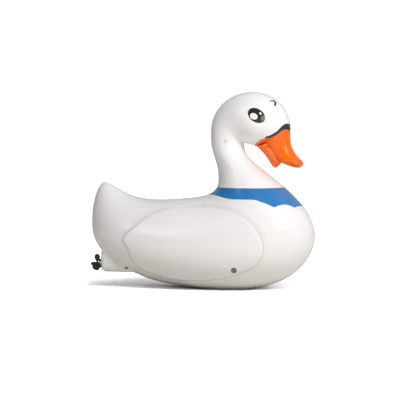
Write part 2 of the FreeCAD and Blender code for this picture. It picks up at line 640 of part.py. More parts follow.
def battery_unit():
    """The lid with its gasket and screws, four cells, and their springs and contacts."""
    prism = tilted("lid_prism", rounded(
        "lid_block", ("-lid_end", "pocket_long + lid_end"), ("-lid_half", "lid_half"),
        ("-20", "0"), SIZES["lid_corner"] - 0.2))
    plate = both_sides("lid_plate", shared("lid_half_plate", outer, prism))
    rooms, screws = [], []
    y = "-lid_screw_half"
    for end, place in (("rear", "lid_screw_in"), ("front", "pocket_long - lid_screw_in")):
        rooms.append(rod(f"lid_head_room_{end}", "z", "2.6", ("-12", "-1.4"), place, y))
        rooms.append(rod(f"lid_hole_{end}", "z", "1.4", ("-5", "1"), place, y))
        head = rod(f"lid_head_{end}", "z", "2.4", ("-2.8", "-1.4"), place, y)
        shank = rod(f"lid_shank_{end}", "z", "1.25", ("-1.4", "8.5"), place, y)
        slot = block(f"lid_driver_{end}", (f"{place} - 2", f"{place} + 2"),
                     (f"{y} - 0.35", f"{y} + 0.35"), ("-3", "-2.1"))
        screw = without(f"lid_screw_{end}", joined(f"lid_screw_solid_{end}", head, shank), slot)
        screws += [screw, mirrored(f"lid_screw_{end}_far", screw)]
    room_set = both_sides("lid_room_set", joined("lid_rooms_near", *rooms))
    keep("battery_lid", without("battery_lid", plate, tilted("lid_screw_rooms", room_set)))
    keep("lid_screws", tilted("lid_screws", group("lid_screw_set", *screws)))
    ring = without(
        "lid_ring",
        rounded("lid_ring_outer", ("-0.9", "pocket_long + 0.9"), ("-18.6", "18.6"), ("0", "1"), 3),
        rounded("lid_ring_inner", ("0.3", "pocket_long - 0.3"), ("-pocket_half", "pocket_half"),
                ("-1", "2"), 2))
    keep("lid_gasket", tilted("lid_gasket", ring))
    place = 0
    start = "pocket_long - contact_thick - cell_long"
    springs, plates = [], []
    for row in (0, 1):
        for side in ("-", ""):
            place += 1
            y = f"{side}0.5 * cell_pitch"
            z = f"1 + pocket_high / 2 + ({row} - 0.5) * cell_pitch"
            can = rod(f"cell_can_{place}", "x", "cell_radius", (start, f"{start} + cell_long - 1.2"),
                      y, z)
            button = rod(f"cell_button_{place}", "x", "2.7",
                         (f"{start} + cell_long - 1.2", f"{start} + cell_long"), y, z)
            keep(f"cell_{place}", tilted(f"cell_{place}", joined(f"cell_solid_{place}", can, button)))
            springs.append(spring(place, start, y, z))
            for key, span in (("tail", ("0", "contact_thick")),
                              ("nose", ("pocket_long - contact_thick", "pocket_long"))):
                plates.append(block(f"{key}_plate_{place}", span, (f"{y} - 6", f"{y} + 6"),
                                    (f"{z} - 6", f"{z} + 6")))
    keep("battery_springs", tilted("battery_springs", group("spring_set", *springs)))
    keep("battery_contacts", tilted("battery_contacts", group("contact_set", *plates)))


def spring(place, stop, y, z):
    """A squeezed conical spring, drawn as a stack of rings that narrow towards its cell."""
    rings = []
    turn_long = f"(({stop}) - contact_thick) / spring_turns"
    for turn in range(SIZES["spring_turns"]):
        low = f"contact_thick + {turn} * {turn_long}"
        rings.append(rod(f"spring_{place}_{turn}", "x", f"spring_wide - {turn} * spring_step",
                         (low, f"{low} + {turn_long}"), y, z))
    return without(f"spring_{place}", joined(f"spring_stack_{place}", *rings),
                   rod(f"spring_bore_{place}", "x", "1.6", ("0", "10"), y, z))


def place_both(label, item):
    """A near-side piece and its mirror image, as two nodes."""
    keep(label + "_right", item)
    keep(label + "_left", mirrored(label + "_mirror", item))


def drive_line():
    """Motor, coupling, shaft in its tube and seal, and propeller, on each side of the stern."""
    y, z = "-drive_y", "drive_z"
    can = shared("can_flat",
                 rod("can_rod", "x", "motor_radius", ("motor_rear", "motor_front"), y, z),
                 block("can_block", ("motor_rear", "motor_front"), ("-drive_y - 20", "-drive_y + 20"),
                       ("drive_z - motor_flat", "drive_z + motor_flat")))
    nose = rod("can_nose", "x", "3", ("motor_rear - 1.5", "motor_rear"), y, z)
    bore = rod("can_bore", "x", "shaft_room", ("motor_rear - 5", "motor_front + 10"), y, z)
    place_both("motor", without("motor_near", joined("motor_solid", can, nose), bore))
    bell = shared("bell_flat",
                  rod("bell_rod", "x", "motor_radius - 0.3",
                      ("motor_front", "motor_front + bell_thick"), y, z),
                  block("bell_block", ("motor_front", "motor_front + bell_thick"),
                        ("-drive_y - 20", "-drive_y + 20"),
                        ("drive_z - motor_flat + 0.3", "drive_z + motor_flat - 0.3")))
    place_both("motor_endbell", without("bell_near", bell, rod(
        "bell_bore", "x", "shaft_room", ("motor_front - 5", "motor_front + 2"), y, z)))
    place_both("motor_shaft", rod("motor_shaft_rod", "x", "shaft",
                                  ("shaft_split", "motor_front + 1.5"), y, z))
    sleeve = rod("coupling_rod", "x", "coupling_radius",
                 ("shaft_split - coupling_half", "shaft_split + coupling_half"), y, z)
    waist = without(
        "coupling_waist",
        rod("waist_rod", "x", "coupling_radius + 1", ("shaft_split - 1.5", "shaft_split + 1.5"), y, z),
        rod("waist_core", "x", "coupling_radius - 0.7", ("shaft_split - 3", "shaft_split + 3"), y, z))
    place_both("coupling", without("coupling_near", sleeve, waist, rod(
        "coupling_bore", "x", "shaft", ("shaft_split - 9", "shaft_split + 9"), y, z)))
    place_both("propeller_shaft", rod("propeller_shaft_rod", "x", "shaft",
                                      ("hub_front - 6", "shaft_split"), y, z))
    place_both("stern_tube", without(
        "stern_tube_near", rod("tube_rod", "x", "tube_radius", ("tube_rear", "tube_front"), y, z),
        rod("tube_bore", "x", "shaft_room", ("tube_rear - 1", "tube_front + 1"), y, z)))
    place_both("shaft_seal", without(
        "seal_near", rod("seal_rod", "x", "seal_radius", ("tube_front - 3", "tube_front + 1.6"), y, z),
        rod("seal_tube_room", "x", "tube_radius", ("tube_front - 5", "tube_front"), y, z),
        rod("seal_bore", "x", "shaft_room", ("tube_front - 1", "tube_front + 3"), y, z)))
    place_both("propeller", propeller())


def propeller():
    """Three round-tipped paddles, each a tilted slab trimmed to its outline, on a pointed hub."""
    y, z = "-drive_y", "drive_z"
    hub = rod("hub_rod", "x", "hub_radius", ("hub_front - hub_long", "hub_front"), y, z)
    tip = doc.addObject("Part::Cone", "hub_cone")
    tip.setExpression("Radius1", words("hub_radius"))
    tip.Radius2 = 0.8
    tip.setExpression("Height", words("hub_tip"))
    tip.Placement = FreeCAD.Placement(V(), FreeCAD.Rotation(V(0, 1, 0), -90))
    move(tip, "hub_front - hub_long", y, z)
    paddle = rod("paddle_rod", "x", "blade_round", ("0 - 8", "8"), "0", "blade_reach - blade_round")
    neck = block("paddle_neck", ("-8", "8"), ("-2.6", "2.6"), ("1", "blade_reach - blade_round"))
    slab = doc.addObject("Part::Box", "blade_slab")
    slab.setExpression("Length", words("blade_thick"))
    slab.Width = 20
    slab.Height = 20
    holder = group("blade_slab_centred", slab)
    move(slab, "0 - blade_thick / 2", "0 - 10", "0")
    holder.setExpression("Placement.Rotation", words(
        "create(<<rotation>>; create(<<vector>>; 0; 0; 1); blade_pitch)"))
    blade = shared("blade", joined("paddle", paddle, neck), holder)
    blades = []
    for number in range(3):
        turned = group(f"blade_{number}", blade)
        angle = 120 * number
        base = "create(<<vector>>; blade_x; 0 - drive_y; drive_z)"
        turn = f"create(<<rotation>>; create(<<vector>>; 1; 0; 0); {angle})"
        turned.setExpression("Placement", words(f"create(<<placement>>; {base}; {turn})"))
        blades.append(turned)
    bore = rod("hub_bore", "x", "shaft", ("hub_front - 6", "hub_front + 1"), y, z)
    return without("propeller_near", joined("propeller_solid", hub, tip, *blades), bore)


def motor_cradle():
    """A bridge over both motors with a rib between them and an ear beside each stern well."""
    bridge = rounded("cradle_bridge", ("motor_rear", "motor_front"),
                     ("-cradle_half", "cradle_half"),
                     ("drive_z + motor_flat", "cradle_top"), 3)
    rib_block = block("cradle_rib_block", ("motor_rear + 2", "motor_front - 2"),
                      ("-cradle_rib - 4", "cradle_rib + 4"), ("31", "cradle_top"))
    ear = block("ear", ("ear_rear", "motor_rear"), ("-stern_lug", "-ear_face"),
                ("stern_z - 2.1", "cradle_top"))
    can = rod("cradle_can", "x", "motor_radius + 0.02", ("motor_rear - 0.01", "motor_front + 3"),
              "-drive_y", "drive_z")
    solid = joined("cradle_solid", bridge, rib_block, ear, mirrored("ear_far", ear))
    holes = rod("ear_holes", "y", "1.0", ("-40", "40"), "stern_x", "stern_z")
    keep("motor_cradle", without("motor_cradle", solid, can, mirrored("cradle_can_far", can),
                                 holes))


def side_screw(place, radius, head):
    """A pan-head screw on the near side: its head sits at the seat, and its tip points inboard."""
    seat = f"-{place}_seat"
    top = f"{seat} - screw_head_high"
    x, z = f"{place}_x", f"{place}_z"
    shank = rod(f"{place}_shank", "y", radius, (seat, f"{seat} + {place}_screw_long"), x, z)
    cap = rod(f"{place}_head", "y", head, (top, seat), x, z)
    slot = block(f"{place}_driver", (f"{x} - 3", f"{x} + 3"), (top, f"{top} + 0.9"),
                 (f"{z} - 0.4", f"{z} + 0.4"))
    return without(f"{place}_screw", joined(f"{place}_screw_solid", shank, cap), slot)


def fasteners():
    """Five screws hold the shells to the tub, to the cradle and to each other."""
    breast = side_screw("breast", "1.2", "3.2")
    stern = side_screw("stern", "1.0", "2.4")
    keep("shell_screws", group(
        "shell_screw_set", side_screw("neck", "1.1", "2.5"), breast,
        mirrored("breast_screw_far", breast), stern, mirrored("stern_screw_far", stern)))


def plugs():
    """Soft plugs close the screw wells flush with the skin: grey ones low on the breast, and
    small pale ones beside the stern and on the neck."""
    skin = shared("plug_skin", skin_outer,
                  block("plug_room", ("-" + FAR, FAR), ("-" + FAR, "0"), ("0", FAR)))
    near = shared("breast_plug_near", skin,
                  rod("breast_plug_rod", "y", "breast_well", ("-90", "-breast_plug_in"),
                      "breast_x", "breast_z"))
    keep("breast_plugs", group("breast_plug_set", near, mirrored("breast_plug_far", near)))
    stern = shared("stern_plug_near", joined("stern_plug_skin", skin, stern_pod(
        "plug_pod", "0", "pod_front", "pod_rear", "pod_top")), rod(
            "stern_plug_rod", "y", "stern_well", ("-60", "-stern_plug_in"),
            "stern_x", "stern_z"))
    neck = shared("neck_plug", skin,
                  rod("neck_plug_rod", "y", "neck_well", ("-60", "-neck_plug_in"),
                      "neck_x", "neck_z"))
    keep("small_plugs", group("small_plug_set", stern, mirrored("stern_plug_far", stern), neck))


def power_switch():
    """A sealed slide switch in a window of the pan, with a knob that stays below the skin."""
    body = rounded("switch_block", ("switch_x - switch_half_x - 1", "switch_x + switch_half_x + 1"),
                   ("switch_y - switch_half_y - 1", "switch_y + switch_half_y + 1"),
                   ("switch_face", "switch_top"), 1.5)
    room = block("switch_stem_room", ("switch_x - 1.6", "switch_x + 1.6"),
                 ("switch_y - 5", "switch_y + 5"), ("0", "switch_face + 2.4"))
    keep("switch_body", without("switch_body", body, room))
    knob = rounded("switch_knob_block", ("switch_x - 3.4", "switch_x + 3.4"),
                   ("switch_y - 5.6", "switch_y + 0.4"), ("2.8", "switch_face - 0.1"), 1)
    stem = block("switch_stem", ("switch_x - 1.4", "switch_x + 1.4"),
                 ("switch_y - 4.8", "switch_y - 0.4"), ("switch_face - 0.6", "switch_face + 2.2"))
    keep("switch_slider", joined("switch_slider", knob, stem))


def electronics():
    """The receiver board on four posts over the tablet chamber, and its stub antenna."""
    base = "chamber_top + chamber_wall + post_high"
    top = f"{base} + board_thick"
    board = block("board_block", ("board_rear", "board_front"), ("-board_half", "board_half"),
                  (base, top))
    chip = block("chip_block", ("25", "40"), ("-6", "4"), (f"{top}", f"{top} + 2"))
    coil = block("coil_block", ("44", "51"), ("6", "13"), (f"{top}", f"{top} + 8"))
    crystal = rounded("crystal_block", ("14", "24"), ("-14", "-10"), (top, f"{top} + 4"), 1.9)
    holes, screws = [], []
    y = "post_in - board_half"
    for end, place in (("rear", "board_rear + post_in"), ("front", "board_front - post_in")):
        hole = rod(f"board_hole_{end}", "z", "1.2", ("60", "80"), place, y)
        screw = rod(f"board_screw_{end}", "z", "2.0", (top, f"{top} + 1.4"), place, y)
        holes += [hole, mirrored(f"board_hole_{end}_far", hole)]
        screws += [screw, mirrored(f"board_screw_{end}_far", screw)]
    parts = [rod(f"cap_{number}", "z", "3", (top, f"{top} + 9"), str(place), "13")
             for number, place in enumerate((20, 28, 36))]
    keep("receiver_board", without("receiver_board", joined(
        "board_solid", board, chip, coil, crystal, *parts), joined("board_holes", *holes)))
    keep("board_screws", group("board_screw_set", *screws))
    keep("antenna_rod", rod("antenna", "z", "0.9", (top, "antenna_top"), "53", "-8"))


def ballast():
    """A cast weight that lies in the breast, on the shells' inner skin."""
    weight = shared("ballast_half_part", cavity, rounded(
        "ballast_block", ("ballast_rear", "ballast_front"), ("-ballast_half", "ballast_half"),
        ("0", "ballast_top"), 5), block("ballast_side", ("50", "150"), ("-30", "0"), ("0", "30")))
    keep("ballast_weight", both_sides("ballast_weight", weight))


shells()
bill()
belly_pan()
tablet_tub()
pan_gasket()
tablet_door()
vent_slider()
battery_unit()
drive_line()
motor_cradle()
fasteners()
plugs()
power_switch()
electronics()
ballast()
doc.recompute()

faults = [item.Name for item in doc.Objects if "Invalid" in item.State or "Error" in item.State]
for label, item in NODES.items():
    if item.Shape.isNull() or not item.Shape.isValid() or not item.Shape.Solids:
        faults.append(label)
if faults:
    raise RuntimeError("these objects failed: " + ", ".join(faults))

os.makedirs("parts", exist_ok=True)
for label, item in NODES.items():
    item.Shape.exportStep(os.path.join("parts", label + ".step"))
    print(f"{label}: {len(item.Shape.Solids)} solids, {item.Shape.Volume / 1000:.1f} cm3")
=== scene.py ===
# %% [markdown]
# A floating goose that carries chlorine tablets round a pool, driven by two small propellers.
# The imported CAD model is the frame: it says where every part is and how it moves. The pieces
# below dress that frame, so each of them is made in place, in metres, and rides on the CAD body
# that carries it. Sizes are written in millimetres, as on the drawing, and scaled once.

# %% Load the frame
import bpy
import json
import math
import numpy as np
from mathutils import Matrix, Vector
from mathutils.bvhtree import BVHTree


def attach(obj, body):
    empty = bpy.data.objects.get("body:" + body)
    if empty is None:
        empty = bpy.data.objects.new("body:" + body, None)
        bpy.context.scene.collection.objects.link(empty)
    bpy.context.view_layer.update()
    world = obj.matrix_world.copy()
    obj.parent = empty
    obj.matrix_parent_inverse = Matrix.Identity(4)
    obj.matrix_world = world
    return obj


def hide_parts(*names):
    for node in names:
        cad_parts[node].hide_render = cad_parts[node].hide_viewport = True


MM = 0.001
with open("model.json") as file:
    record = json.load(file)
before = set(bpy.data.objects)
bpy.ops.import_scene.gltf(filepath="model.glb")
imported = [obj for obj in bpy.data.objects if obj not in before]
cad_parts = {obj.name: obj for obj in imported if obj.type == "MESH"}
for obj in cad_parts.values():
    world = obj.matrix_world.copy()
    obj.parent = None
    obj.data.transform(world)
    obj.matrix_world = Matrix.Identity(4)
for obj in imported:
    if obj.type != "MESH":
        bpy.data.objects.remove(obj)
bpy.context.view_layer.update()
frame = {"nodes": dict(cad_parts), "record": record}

# %% [markdown]
# Operators work on whatever is selected, and a freshly loaded model is selected all over. These
# few helpers clear the selection, start an empty mesh to model in, and pick faces, edges or
# points by where they are, as the mouse would.

# %% Helpers for selecting and for edit mode
op = bpy.ops.mesh


def deselect():
    """Leave edit mode and select nothing."""
    if bpy.context.object and bpy.context.object.mode != "OBJECT":
        bpy.ops.object.mode_set(mode="OBJECT")
    bpy.ops.object.select_all(action="DESELECT")


def work_on(piece, mode="OBJECT"):
    """Make one piece the only selected one, and open it in a mode."""
    deselect()
    piece.select_set(True)
    bpy.context.view_layer.objects.active = piece
    bpy.ops.object.mode_set(mode=mode)
    return piece


def new_piece(name):
    """An empty piece at the origin, open in edit mode, ready for primitives."""
    deselect()
    piece = bpy.data.objects.new(name, bpy.data.meshes.new(name))
    bpy.context.collection.objects.link(piece)
    return work_on(piece, "EDIT")


def pick(piece, what, test):
    """Select the points, edges or faces that pass a test. The test gets the place in
    millimetres, and the normal, or for an edge its run from end to end."""
    bpy.ops.object.mode_set(mode="EDIT")
    op.select_mode(type=what)
    op.select_all(action="DESELECT")
    bpy.ops.object.mode_set(mode="OBJECT")
    mesh = piece.data
    spot = [point.co / MM for point in mesh.vertices]
    if what == "FACE":
        chosen = [face for face in mesh.polygons if test(face.center / MM, face.normal)]
    elif what == "EDGE":
        ends = [(edge, spot[edge.vertices[0]], spot[edge.vertices[1]]) for edge in mesh.edges]
        chosen = [edge for edge, a, b in ends if test((a + b) / 2, b - a)]
    else:
        chosen = [point for point in mesh.vertices if test(spot[point.index], point.normal)]
    for item in chosen:
        item.select = True
    bpy.ops.object.mode_set(mode="EDIT")
    return len(chosen)


def modify(piece, kind, **settings):
    """Add a modifier and apply it at once."""
    work_on(piece)
    modifier = piece.modifiers.new(kind.lower(), kind)
    for name, value in settings.items():
        setattr(modifier, name, value)
    bpy.ops.object.modifier_apply(modifier=modifier.name)
    return piece


def discard(*pieces):
    """Remove helper pieces that have done their work."""
    for piece in pieces:
        bpy.data.objects.remove(piece)


def twin(piece, name):
    """A copy with a mesh of its own."""
    copy = piece.copy()
    copy.data = piece.data.copy()
    copy.name = copy.data.name = name
    bpy.context.collection.objects.link(copy)
    return copy


def join(name, parts):
    """Make one piece of several."""
    deselect()
    for part in parts:
        part.select_set(True)
    bpy.context.view_layer.objects.active = parts[0]
    bpy.ops.object.join()
    parts[0].name = parts[0].data.name = name
    return parts[0]


deselect()
print("nothing is selected:", not bpy.context.selected_objects)

# %% [markdown]
# The goose's skin hangs on ribs: ellipses that fan from the tail, round the breast, up the neck
# and over the head. Each rib is given by its top and bottom points on the centre plane and its
# half width. Only the main ribs are written down, and smooth curves through their numbers give
# the ribs in between, as a boat builder's batten does.

# %% The ribs of the body and the bill
BODY_RIBS = [  # back x, back z, belly x, belly z, half width
    (-160.0, 168.5, -165.0, 166.5, 3.0), (-150.5, 165.0, -172.5, 155.0, 13.0),
    (-136.0, 156.0, -178.0, 135.0, 25.5), (-116.5, 147.0, -180.5, 108.0, 40.0),
    (-94.0, 142.0, -176.0, 76.0, 54.5), (-69.5, 140.5, -152.5, 46.0, 66.5),
    (-45.5, 141.5, -108.5, 21.0, 75.0), (-21.0, 143.5, -50.0, 4.7, 81.0),
    (-3.0, 146.0, 14.5, -3.0, 83.0), (9.5, 149.5, 79.5, -0.8, 83.0),
    (18.5, 154.5, 136.0, 17.0, 80.0), (24.5, 161.5, 169.5, 48.5, 74.5),
    (26.5, 170.0, 180.5, 85.5, 66.5), (26.5, 180.5, 168.5, 121.5, 57.0),
    (24.5, 194.0, 137.5, 156.5, 45.5), (20.0, 208.5, 99.0, 188.0, 37.0),
    (16.0, 224.0, 74.0, 209.5, 30.5), (14.5, 240.5, 67.5, 224.5, 27.0),
    (15.0, 258.0, 67.5, 230.5, 27.0), (21.0, 277.5, 69.5, 231.0, 29.0),
    (35.5, 295.5, 72.0, 230.5, 33.5), (56.0, 307.5, 74.5, 230.0, 38.5),
    (79.5, 312.0, 77.5, 229.5, 41.5), (102.0, 308.0, 80.5, 228.5, 41.5),
    (121.5, 297.0, 83.0, 227.5, 38.5), (134.5, 280.5, 85.0, 226.5, 33.0),
    (140.5, 261.5, 87.0, 225.5, 26.5),
]
UPPER_BILL_RIBS = [
    (140.5, 261.5, 87.0, 225.5, 26.5), (141.0, 253.5, 96.5, 228.0, 21.6),
    (141.0, 240.5, 100.5, 222.0, 19.8), (142.5, 228.0, 106.0, 215.0, 18.4),
    (147.5, 217.5, 113.5, 208.0, 18.4), (153.0, 210.0, 123.0, 201.5, 18.8),
    (158.5, 204.5, 134.5, 196.5, 17.8), (161.5, 200.5, 147.5, 192.5, 13.8),
    (162.0, 197.5, 156.5, 192.0, 6.0),
]
LOWER_BILL_RIBS = [
    (110.0, 232.0, 88.5, 225.5, 20.0), (115.0, 225.0, 94.0, 219.5, 18.5),
    (118.0, 219.0, 100.5, 212.5, 17.0), (122.0, 212.0, 107.0, 203.5, 15.0),
    (127.0, 207.0, 112.3, 195.0, 12.5), (130.0, 203.0, 118.0, 191.5, 8.0),
]


def batten(rows, steps, closed=False):
    """Rows of numbers with smooth rows added between them, steps of them per gap."""
    rows = np.array(rows, dtype=float)
    count = len(rows)
    if closed:
        before, after = rows[-1], rows[:2]
    else:
        before, after = 2 * rows[0] - rows[1], [2 * rows[-1] - rows[-2]]
    line = np.vstack([before, rows, after])
    fine = []
    for gap in range(count if closed else count - 1):
        a, b, c, d = line[gap:gap + 4]
        number = steps[gap] if isinstance(steps, list) else steps
        for t in np.arange(number) / number:
            cubic = t * (3 * (b - c) + d - a)
            square = t * (2 * a - 5 * b + 4 * c - d + cubic)
            fine.append(b + 0.5 * t * (c - a + square))
    if not closed:
        fine.append(rows[-1])
    return fine


body_steps = [4, 6, 8, 10, 12, 14, 14, 14, 14, 14, 12, 10, 8, 7] + [5] * 12
body_lines = batten(BODY_RIBS, body_steps)
print(len(body_lines), "ribs in the body")

# %% [markdown]
# A rib is a circle primitive, stretched to an ellipse, turned into its plane and set in place.
# Bridge Edge Loops then skins the whole row of ribs, as planks would. The alternative, a
# sculpted ball, would never meet the CAD shells as closely.

# %% Skin a row of ribs
def add_rib(row, sides):
    """One rib: a circle in the piece that is open in edit mode, stretched to an ellipse."""
    back_x, back_z, low_x, low_z, half = row * MM
    run, rise = back_x - low_x, back_z - low_z
    reach = math.hypot(run, rise) / 2
    middle = ((back_x + low_x) / 2, 0, (back_z + low_z) / 2)
    op.primitive_circle_add(vertices=sides, radius=reach, fill_type="NOTHING",
                            location=middle, rotation=(0, math.atan2(-rise, run), 0))
    bpy.ops.transform.resize(value=(1, half / reach, 1), center_override=middle)


def skin(name, lines, sides):
    """A closed skin over a row of ribs, its ends closed by faces."""
    piece = new_piece(name)
    for row in lines:
        add_rib(row, sides)
    op.select_all(action="SELECT")
    op.bridge_edge_loops(type="SINGLE")
    op.select_all(action="SELECT")
    op.region_to_loop()
    op.edge_face_add()
    op.select_all(action="SELECT")
    op.normals_make_consistent(inside=False)
    bpy.ops.object.mode_set(mode="OBJECT")
    return piece


goose = skin("goose_skin", body_lines, 176)
print("body skin:", len(goose.data.polygons), "faces")

# %% [markdown]
# Two fairings under the tail cover the propeller shafts. Each is a cylinder whose upper half is
# lifted, so that it gets straight sides, with the edge of its back wall rounded. A Boolean joins
# them to the skin, and smoothing the points beside the joint gives the soft hollow that a
# moulding has there.

# %% The stern pods
TAU = math.tau
drive_y, drive_z = 26.0, 37.0  # the propeller shafts, to each side and above the ground
pod_rear, pod_front, pod_radius, pod_lift = -159.0, -96.0, 12.5, 25


def round_bar(low, high, radius, sides, along="x"):
    """A cylinder between two ends, added to the piece that is open in edit mode."""
    low, high = Vector(low) * MM, Vector(high) * MM
    turn = {"x": (0, TAU / 4, 0), "y": (TAU / 4, 0, 0), "z": (0, 0, 0)}[along]
    op.primitive_cylinder_add(vertices=sides, radius=radius * MM, depth=(high - low).length,
                              location=(low + high) / 2, rotation=turn)


def stern_pod(side):
    """A fairing, with enough points along it for the smoothing to bend."""
    pod = new_piece("stern_pod")
    y = side * drive_y
    round_bar((pod_rear, y, drive_z), (pod_front, y, drive_z), pod_radius, 48)
    pick(pod, "VERT", lambda spot, n: spot.z > drive_z + 0.1)
    bpy.ops.transform.translate(value=(0, 0, pod_lift * MM))
    pick(pod, "EDGE", lambda spot, run: spot.x < pod_rear + 0.1)
    op.bevel(offset=7 * MM, segments=6, affect="EDGES")
    pick(pod, "EDGE", lambda spot, run: abs(run.x) > 40)
    op.subdivide(number_cuts=17)
    pick(pod, "EDGE", lambda spot, run: abs(run.z) > 20)
    op.subdivide(number_cuts=9)
    bpy.ops.object.mode_set(mode="OBJECT")
    return pod


def combine(piece, other, operation):
    """Add or take away another piece, and discard it."""
    modify(piece, "BOOLEAN", operation=operation, solver="EXACT", object=other)
    discard(other)
    return piece


def surface_of(piece):
    """A look-up of the nearest point on a piece, as it is now."""
    return BVHTree.FromObject(piece, bpy.context.evaluated_depsgraph_get())


JOINT_REACH = 5.0  # how near the joint a point is smoothed
hull_surface = surface_of(goose)
pods = [stern_pod(side) for side in (-1, 1)]
pod_surfaces = [surface_of(pod) for pod in pods]
for pod in pods:
    combine(goose, pod, "UNION")


def by_the_joint(spot, normal):
    """True for a point on one surface that is close to the other one as well."""
    if spot.z > 80 or not -175 < spot.x < -80:
        return False
    to_hull = hull_surface.find_nearest(spot * MM)[3] / MM
    to_pod = min(surface.find_nearest(spot * MM)[3] for surface in pod_surfaces) / MM
    return max(to_hull, to_pod) < JOINT_REACH


joint_points = pick(goose, "VERT", by_the_joint)
op.remove_doubles(threshold=0.4 * MM)
op.vertices_smooth(factor=0.5, repeat=12)
bpy.ops.object.mode_set(mode="OBJECT")
print("skin with pods:", len(goose.data.polygons), "faces,", joint_points, "points smoothed")

# %% [markdown]
# The wing is a leaf-shaped panel that stands 1.4 mm proud and fades out towards its upper edge.
# Each point of the skin gets a weight from its distance inside the leaf, and a Displace modifier
# lifts it by that weight. The same kind of weight, turned negative, sinks a shallow socket round
# each eye. The distance is also kept as an attribute, for the material to draw the fine edge.

# %% The wings and the eye sockets
WING = [(-114, 80), (-110, 88), (-103, 94), (-93, 102), (-83, 111), (-72.5, 117.5),
        (-56, 124.5), (-38, 129.5), (-10, 131.5), (39, 129), (64, 123), (83, 111.5),
        (97, 96.5), (105, 82), (106.5, 67), (98, 48), (79, 35), (39, 22), (-9, 18),
        (-39, 18.6), (-74.5, 27.5), (-94, 39.5), (-103, 54), (-105.5, 66), (-112, 75)]
EYE = (92.0, 274.2, 14.7, 10.2, math.radians(-35))  # centre x and z, half axes, tilt


def depth_inside(points, outline):
    """How far each point lies inside a closed outline, below zero outside it."""
    outline = np.array(outline)
    nearest = np.full(len(points), 1e9)
    inside = np.zeros(len(points), bool)
    for (ax, az), (bx, bz) in zip(outline, np.roll(outline, -1, axis=0)):
        along = np.array([bx - ax, bz - az])
        from_a = points - (ax, az)
        share = np.clip(from_a @ along / (along @ along), 0, 1)
        nearest = np.minimum(nearest, np.linalg.norm(from_a - share[:, None] * along, axis=1))
        crosses = (az > points[:, 1]) != (bz > points[:, 1])
        level = ax + (points[:, 1] - az) / (bz - az + 1e-12) * (bx - ax)
        inside ^= crosses & (points[:, 0] < level)
    return np.where(inside, nearest, -nearest)


def smooth_step(values, low, high):
    """Nought below low, one above high, and a soft rise between them."""
    t = np.clip((values - low) / (high - low), 0, 1)
    return t * t * (3 - 2 * t)


spots = np.empty(3 * len(goose.data.vertices))
goose.data.vertices.foreach_get("co", spots)
spots = spots.reshape(-1, 3) / MM
side_view = spots[:, [0, 2]]
wing_depth = depth_inside(side_view, batten(WING, 6, closed=True))
on_flank = smooth_step(np.abs(spots[:, 1]), 38, 50)
fade = 1 - 0.75 * smooth_step(spots[:, 2], 108, 132)
lift = smooth_step(wing_depth, -2.2, 2.2) * on_flank * fade
eye_x, eye_z, eye_long, eye_short, eye_tilt = EYE
across = side_view - (eye_x, eye_z)
turned = across @ [[math.cos(eye_tilt), -math.sin(eye_tilt)],
                   [math.sin(eye_tilt), math.cos(eye_tilt)]]
eye_radius = np.hypot(turned[:, 0] / eye_long, turned[:, 1] / eye_short)
sunk = (1 - smooth_step(eye_radius, 1.0, 1.6)) * smooth_step(np.abs(spots[:, 1]), 15, 25)


def push(piece, name, weights, height):
    """Move points along their normals by a height, in millimetres, times their weight."""
    group = piece.vertex_groups.new(name=name)
    for index in np.flatnonzero(weights > 0.001):
        group.add([int(index)], float(weights[index]), "REPLACE")
    modify(piece, "DISPLACE", vertex_group=name, strength=height * MM, mid_level=0.0)


push(goose, "wing", lift, 1.4)
push(goose, "eye", sunk, -0.9)
edge = goose.data.attributes.new("wing_depth", "FLOAT", "POINT")
edge.data.foreach_set("value", np.where(on_flank > 0.5, wing_depth, -50.0))
print("wing points:", int((lift > 0.5).sum()))

# %% [markdown]
# The belly is flat where the goose stands, so what hangs below the table is pressed up to it.
# Cutters take out the opening for the belly plate and the wells for the screws, and then two
# bisects give the near and the far shell, as the mould makes them.

# %% Press the belly flat and cut the openings
pick(goose, "VERT", lambda spot, n: spot.z < 0)
bpy.ops.transform.resize(value=(1, 1, 0), center_override=(0, 0, 0))
bpy.ops.object.mode_set(mode="OBJECT")


def rounded_block(name, low, high, corner, segments=6):
    """A box with its upright edges rounded."""
    block = new_piece(name)
    low, high = Vector(low), Vector(high)
    op.primitive_cube_add(size=1)
    bpy.ops.transform.resize(value=(high - low) * MM)
    bpy.ops.transform.translate(value=(low + high) / 2 * MM)
    pick(block, "EDGE", lambda spot, run: abs(run.z) > abs(run.x) + abs(run.y))
    op.bevel(offset=corner * MM, segments=segments, affect="EDGES")
    bpy.ops.object.mode_set(mode="OBJECT")
    return block


def well(x, z, outer, floor, radius):
    """A cutter for a round well that goes in from the side."""
    cutter = new_piece("well_cutter")
    round_bar((x, outer, z), (x, floor, z), radius, 40, "y")
    bpy.ops.object.mode_set(mode="OBJECT")
    return cutter


WELLS = {  # centre x and z, outer end and floor in y, radius
    "breast near": (62, 35.6, -95, -66, 4.6), "breast far": (62, 35.6, 95, 66, 4.6),
    "stern near": (-116, 31.5, -60, -36.5, 3.0), "stern far": (-116, 31.5, 60, 36.5, 3.0),
    "neck": (41.5, 233.5, -60, -22, 2.8),
}


def plug(name, wells, sunk):
    """Plugs cut from the skin itself, a little smaller than their wells and set back in them."""
    parts = []
    for key in wells:
        x, z, outer, floor, radius = WELLS[key]
        part = twin(goose, name)
        combine(part, well(x, z, outer, floor, radius - 0.15), "INTERSECT")
        work_on(part, "EDIT")
        op.select_all(action="SELECT")
        bpy.ops.transform.translate(value=(0, math.copysign(sunk, -outer) * MM, 0))
        bpy.ops.object.mode_set(mode="OBJECT")
        parts.append(part)
    whole = join(name, parts)
    modify(whole, "BEVEL", width=0.4 * MM, segments=3, limit_method="ANGLE",
           angle_limit=math.radians(50))
    return whole


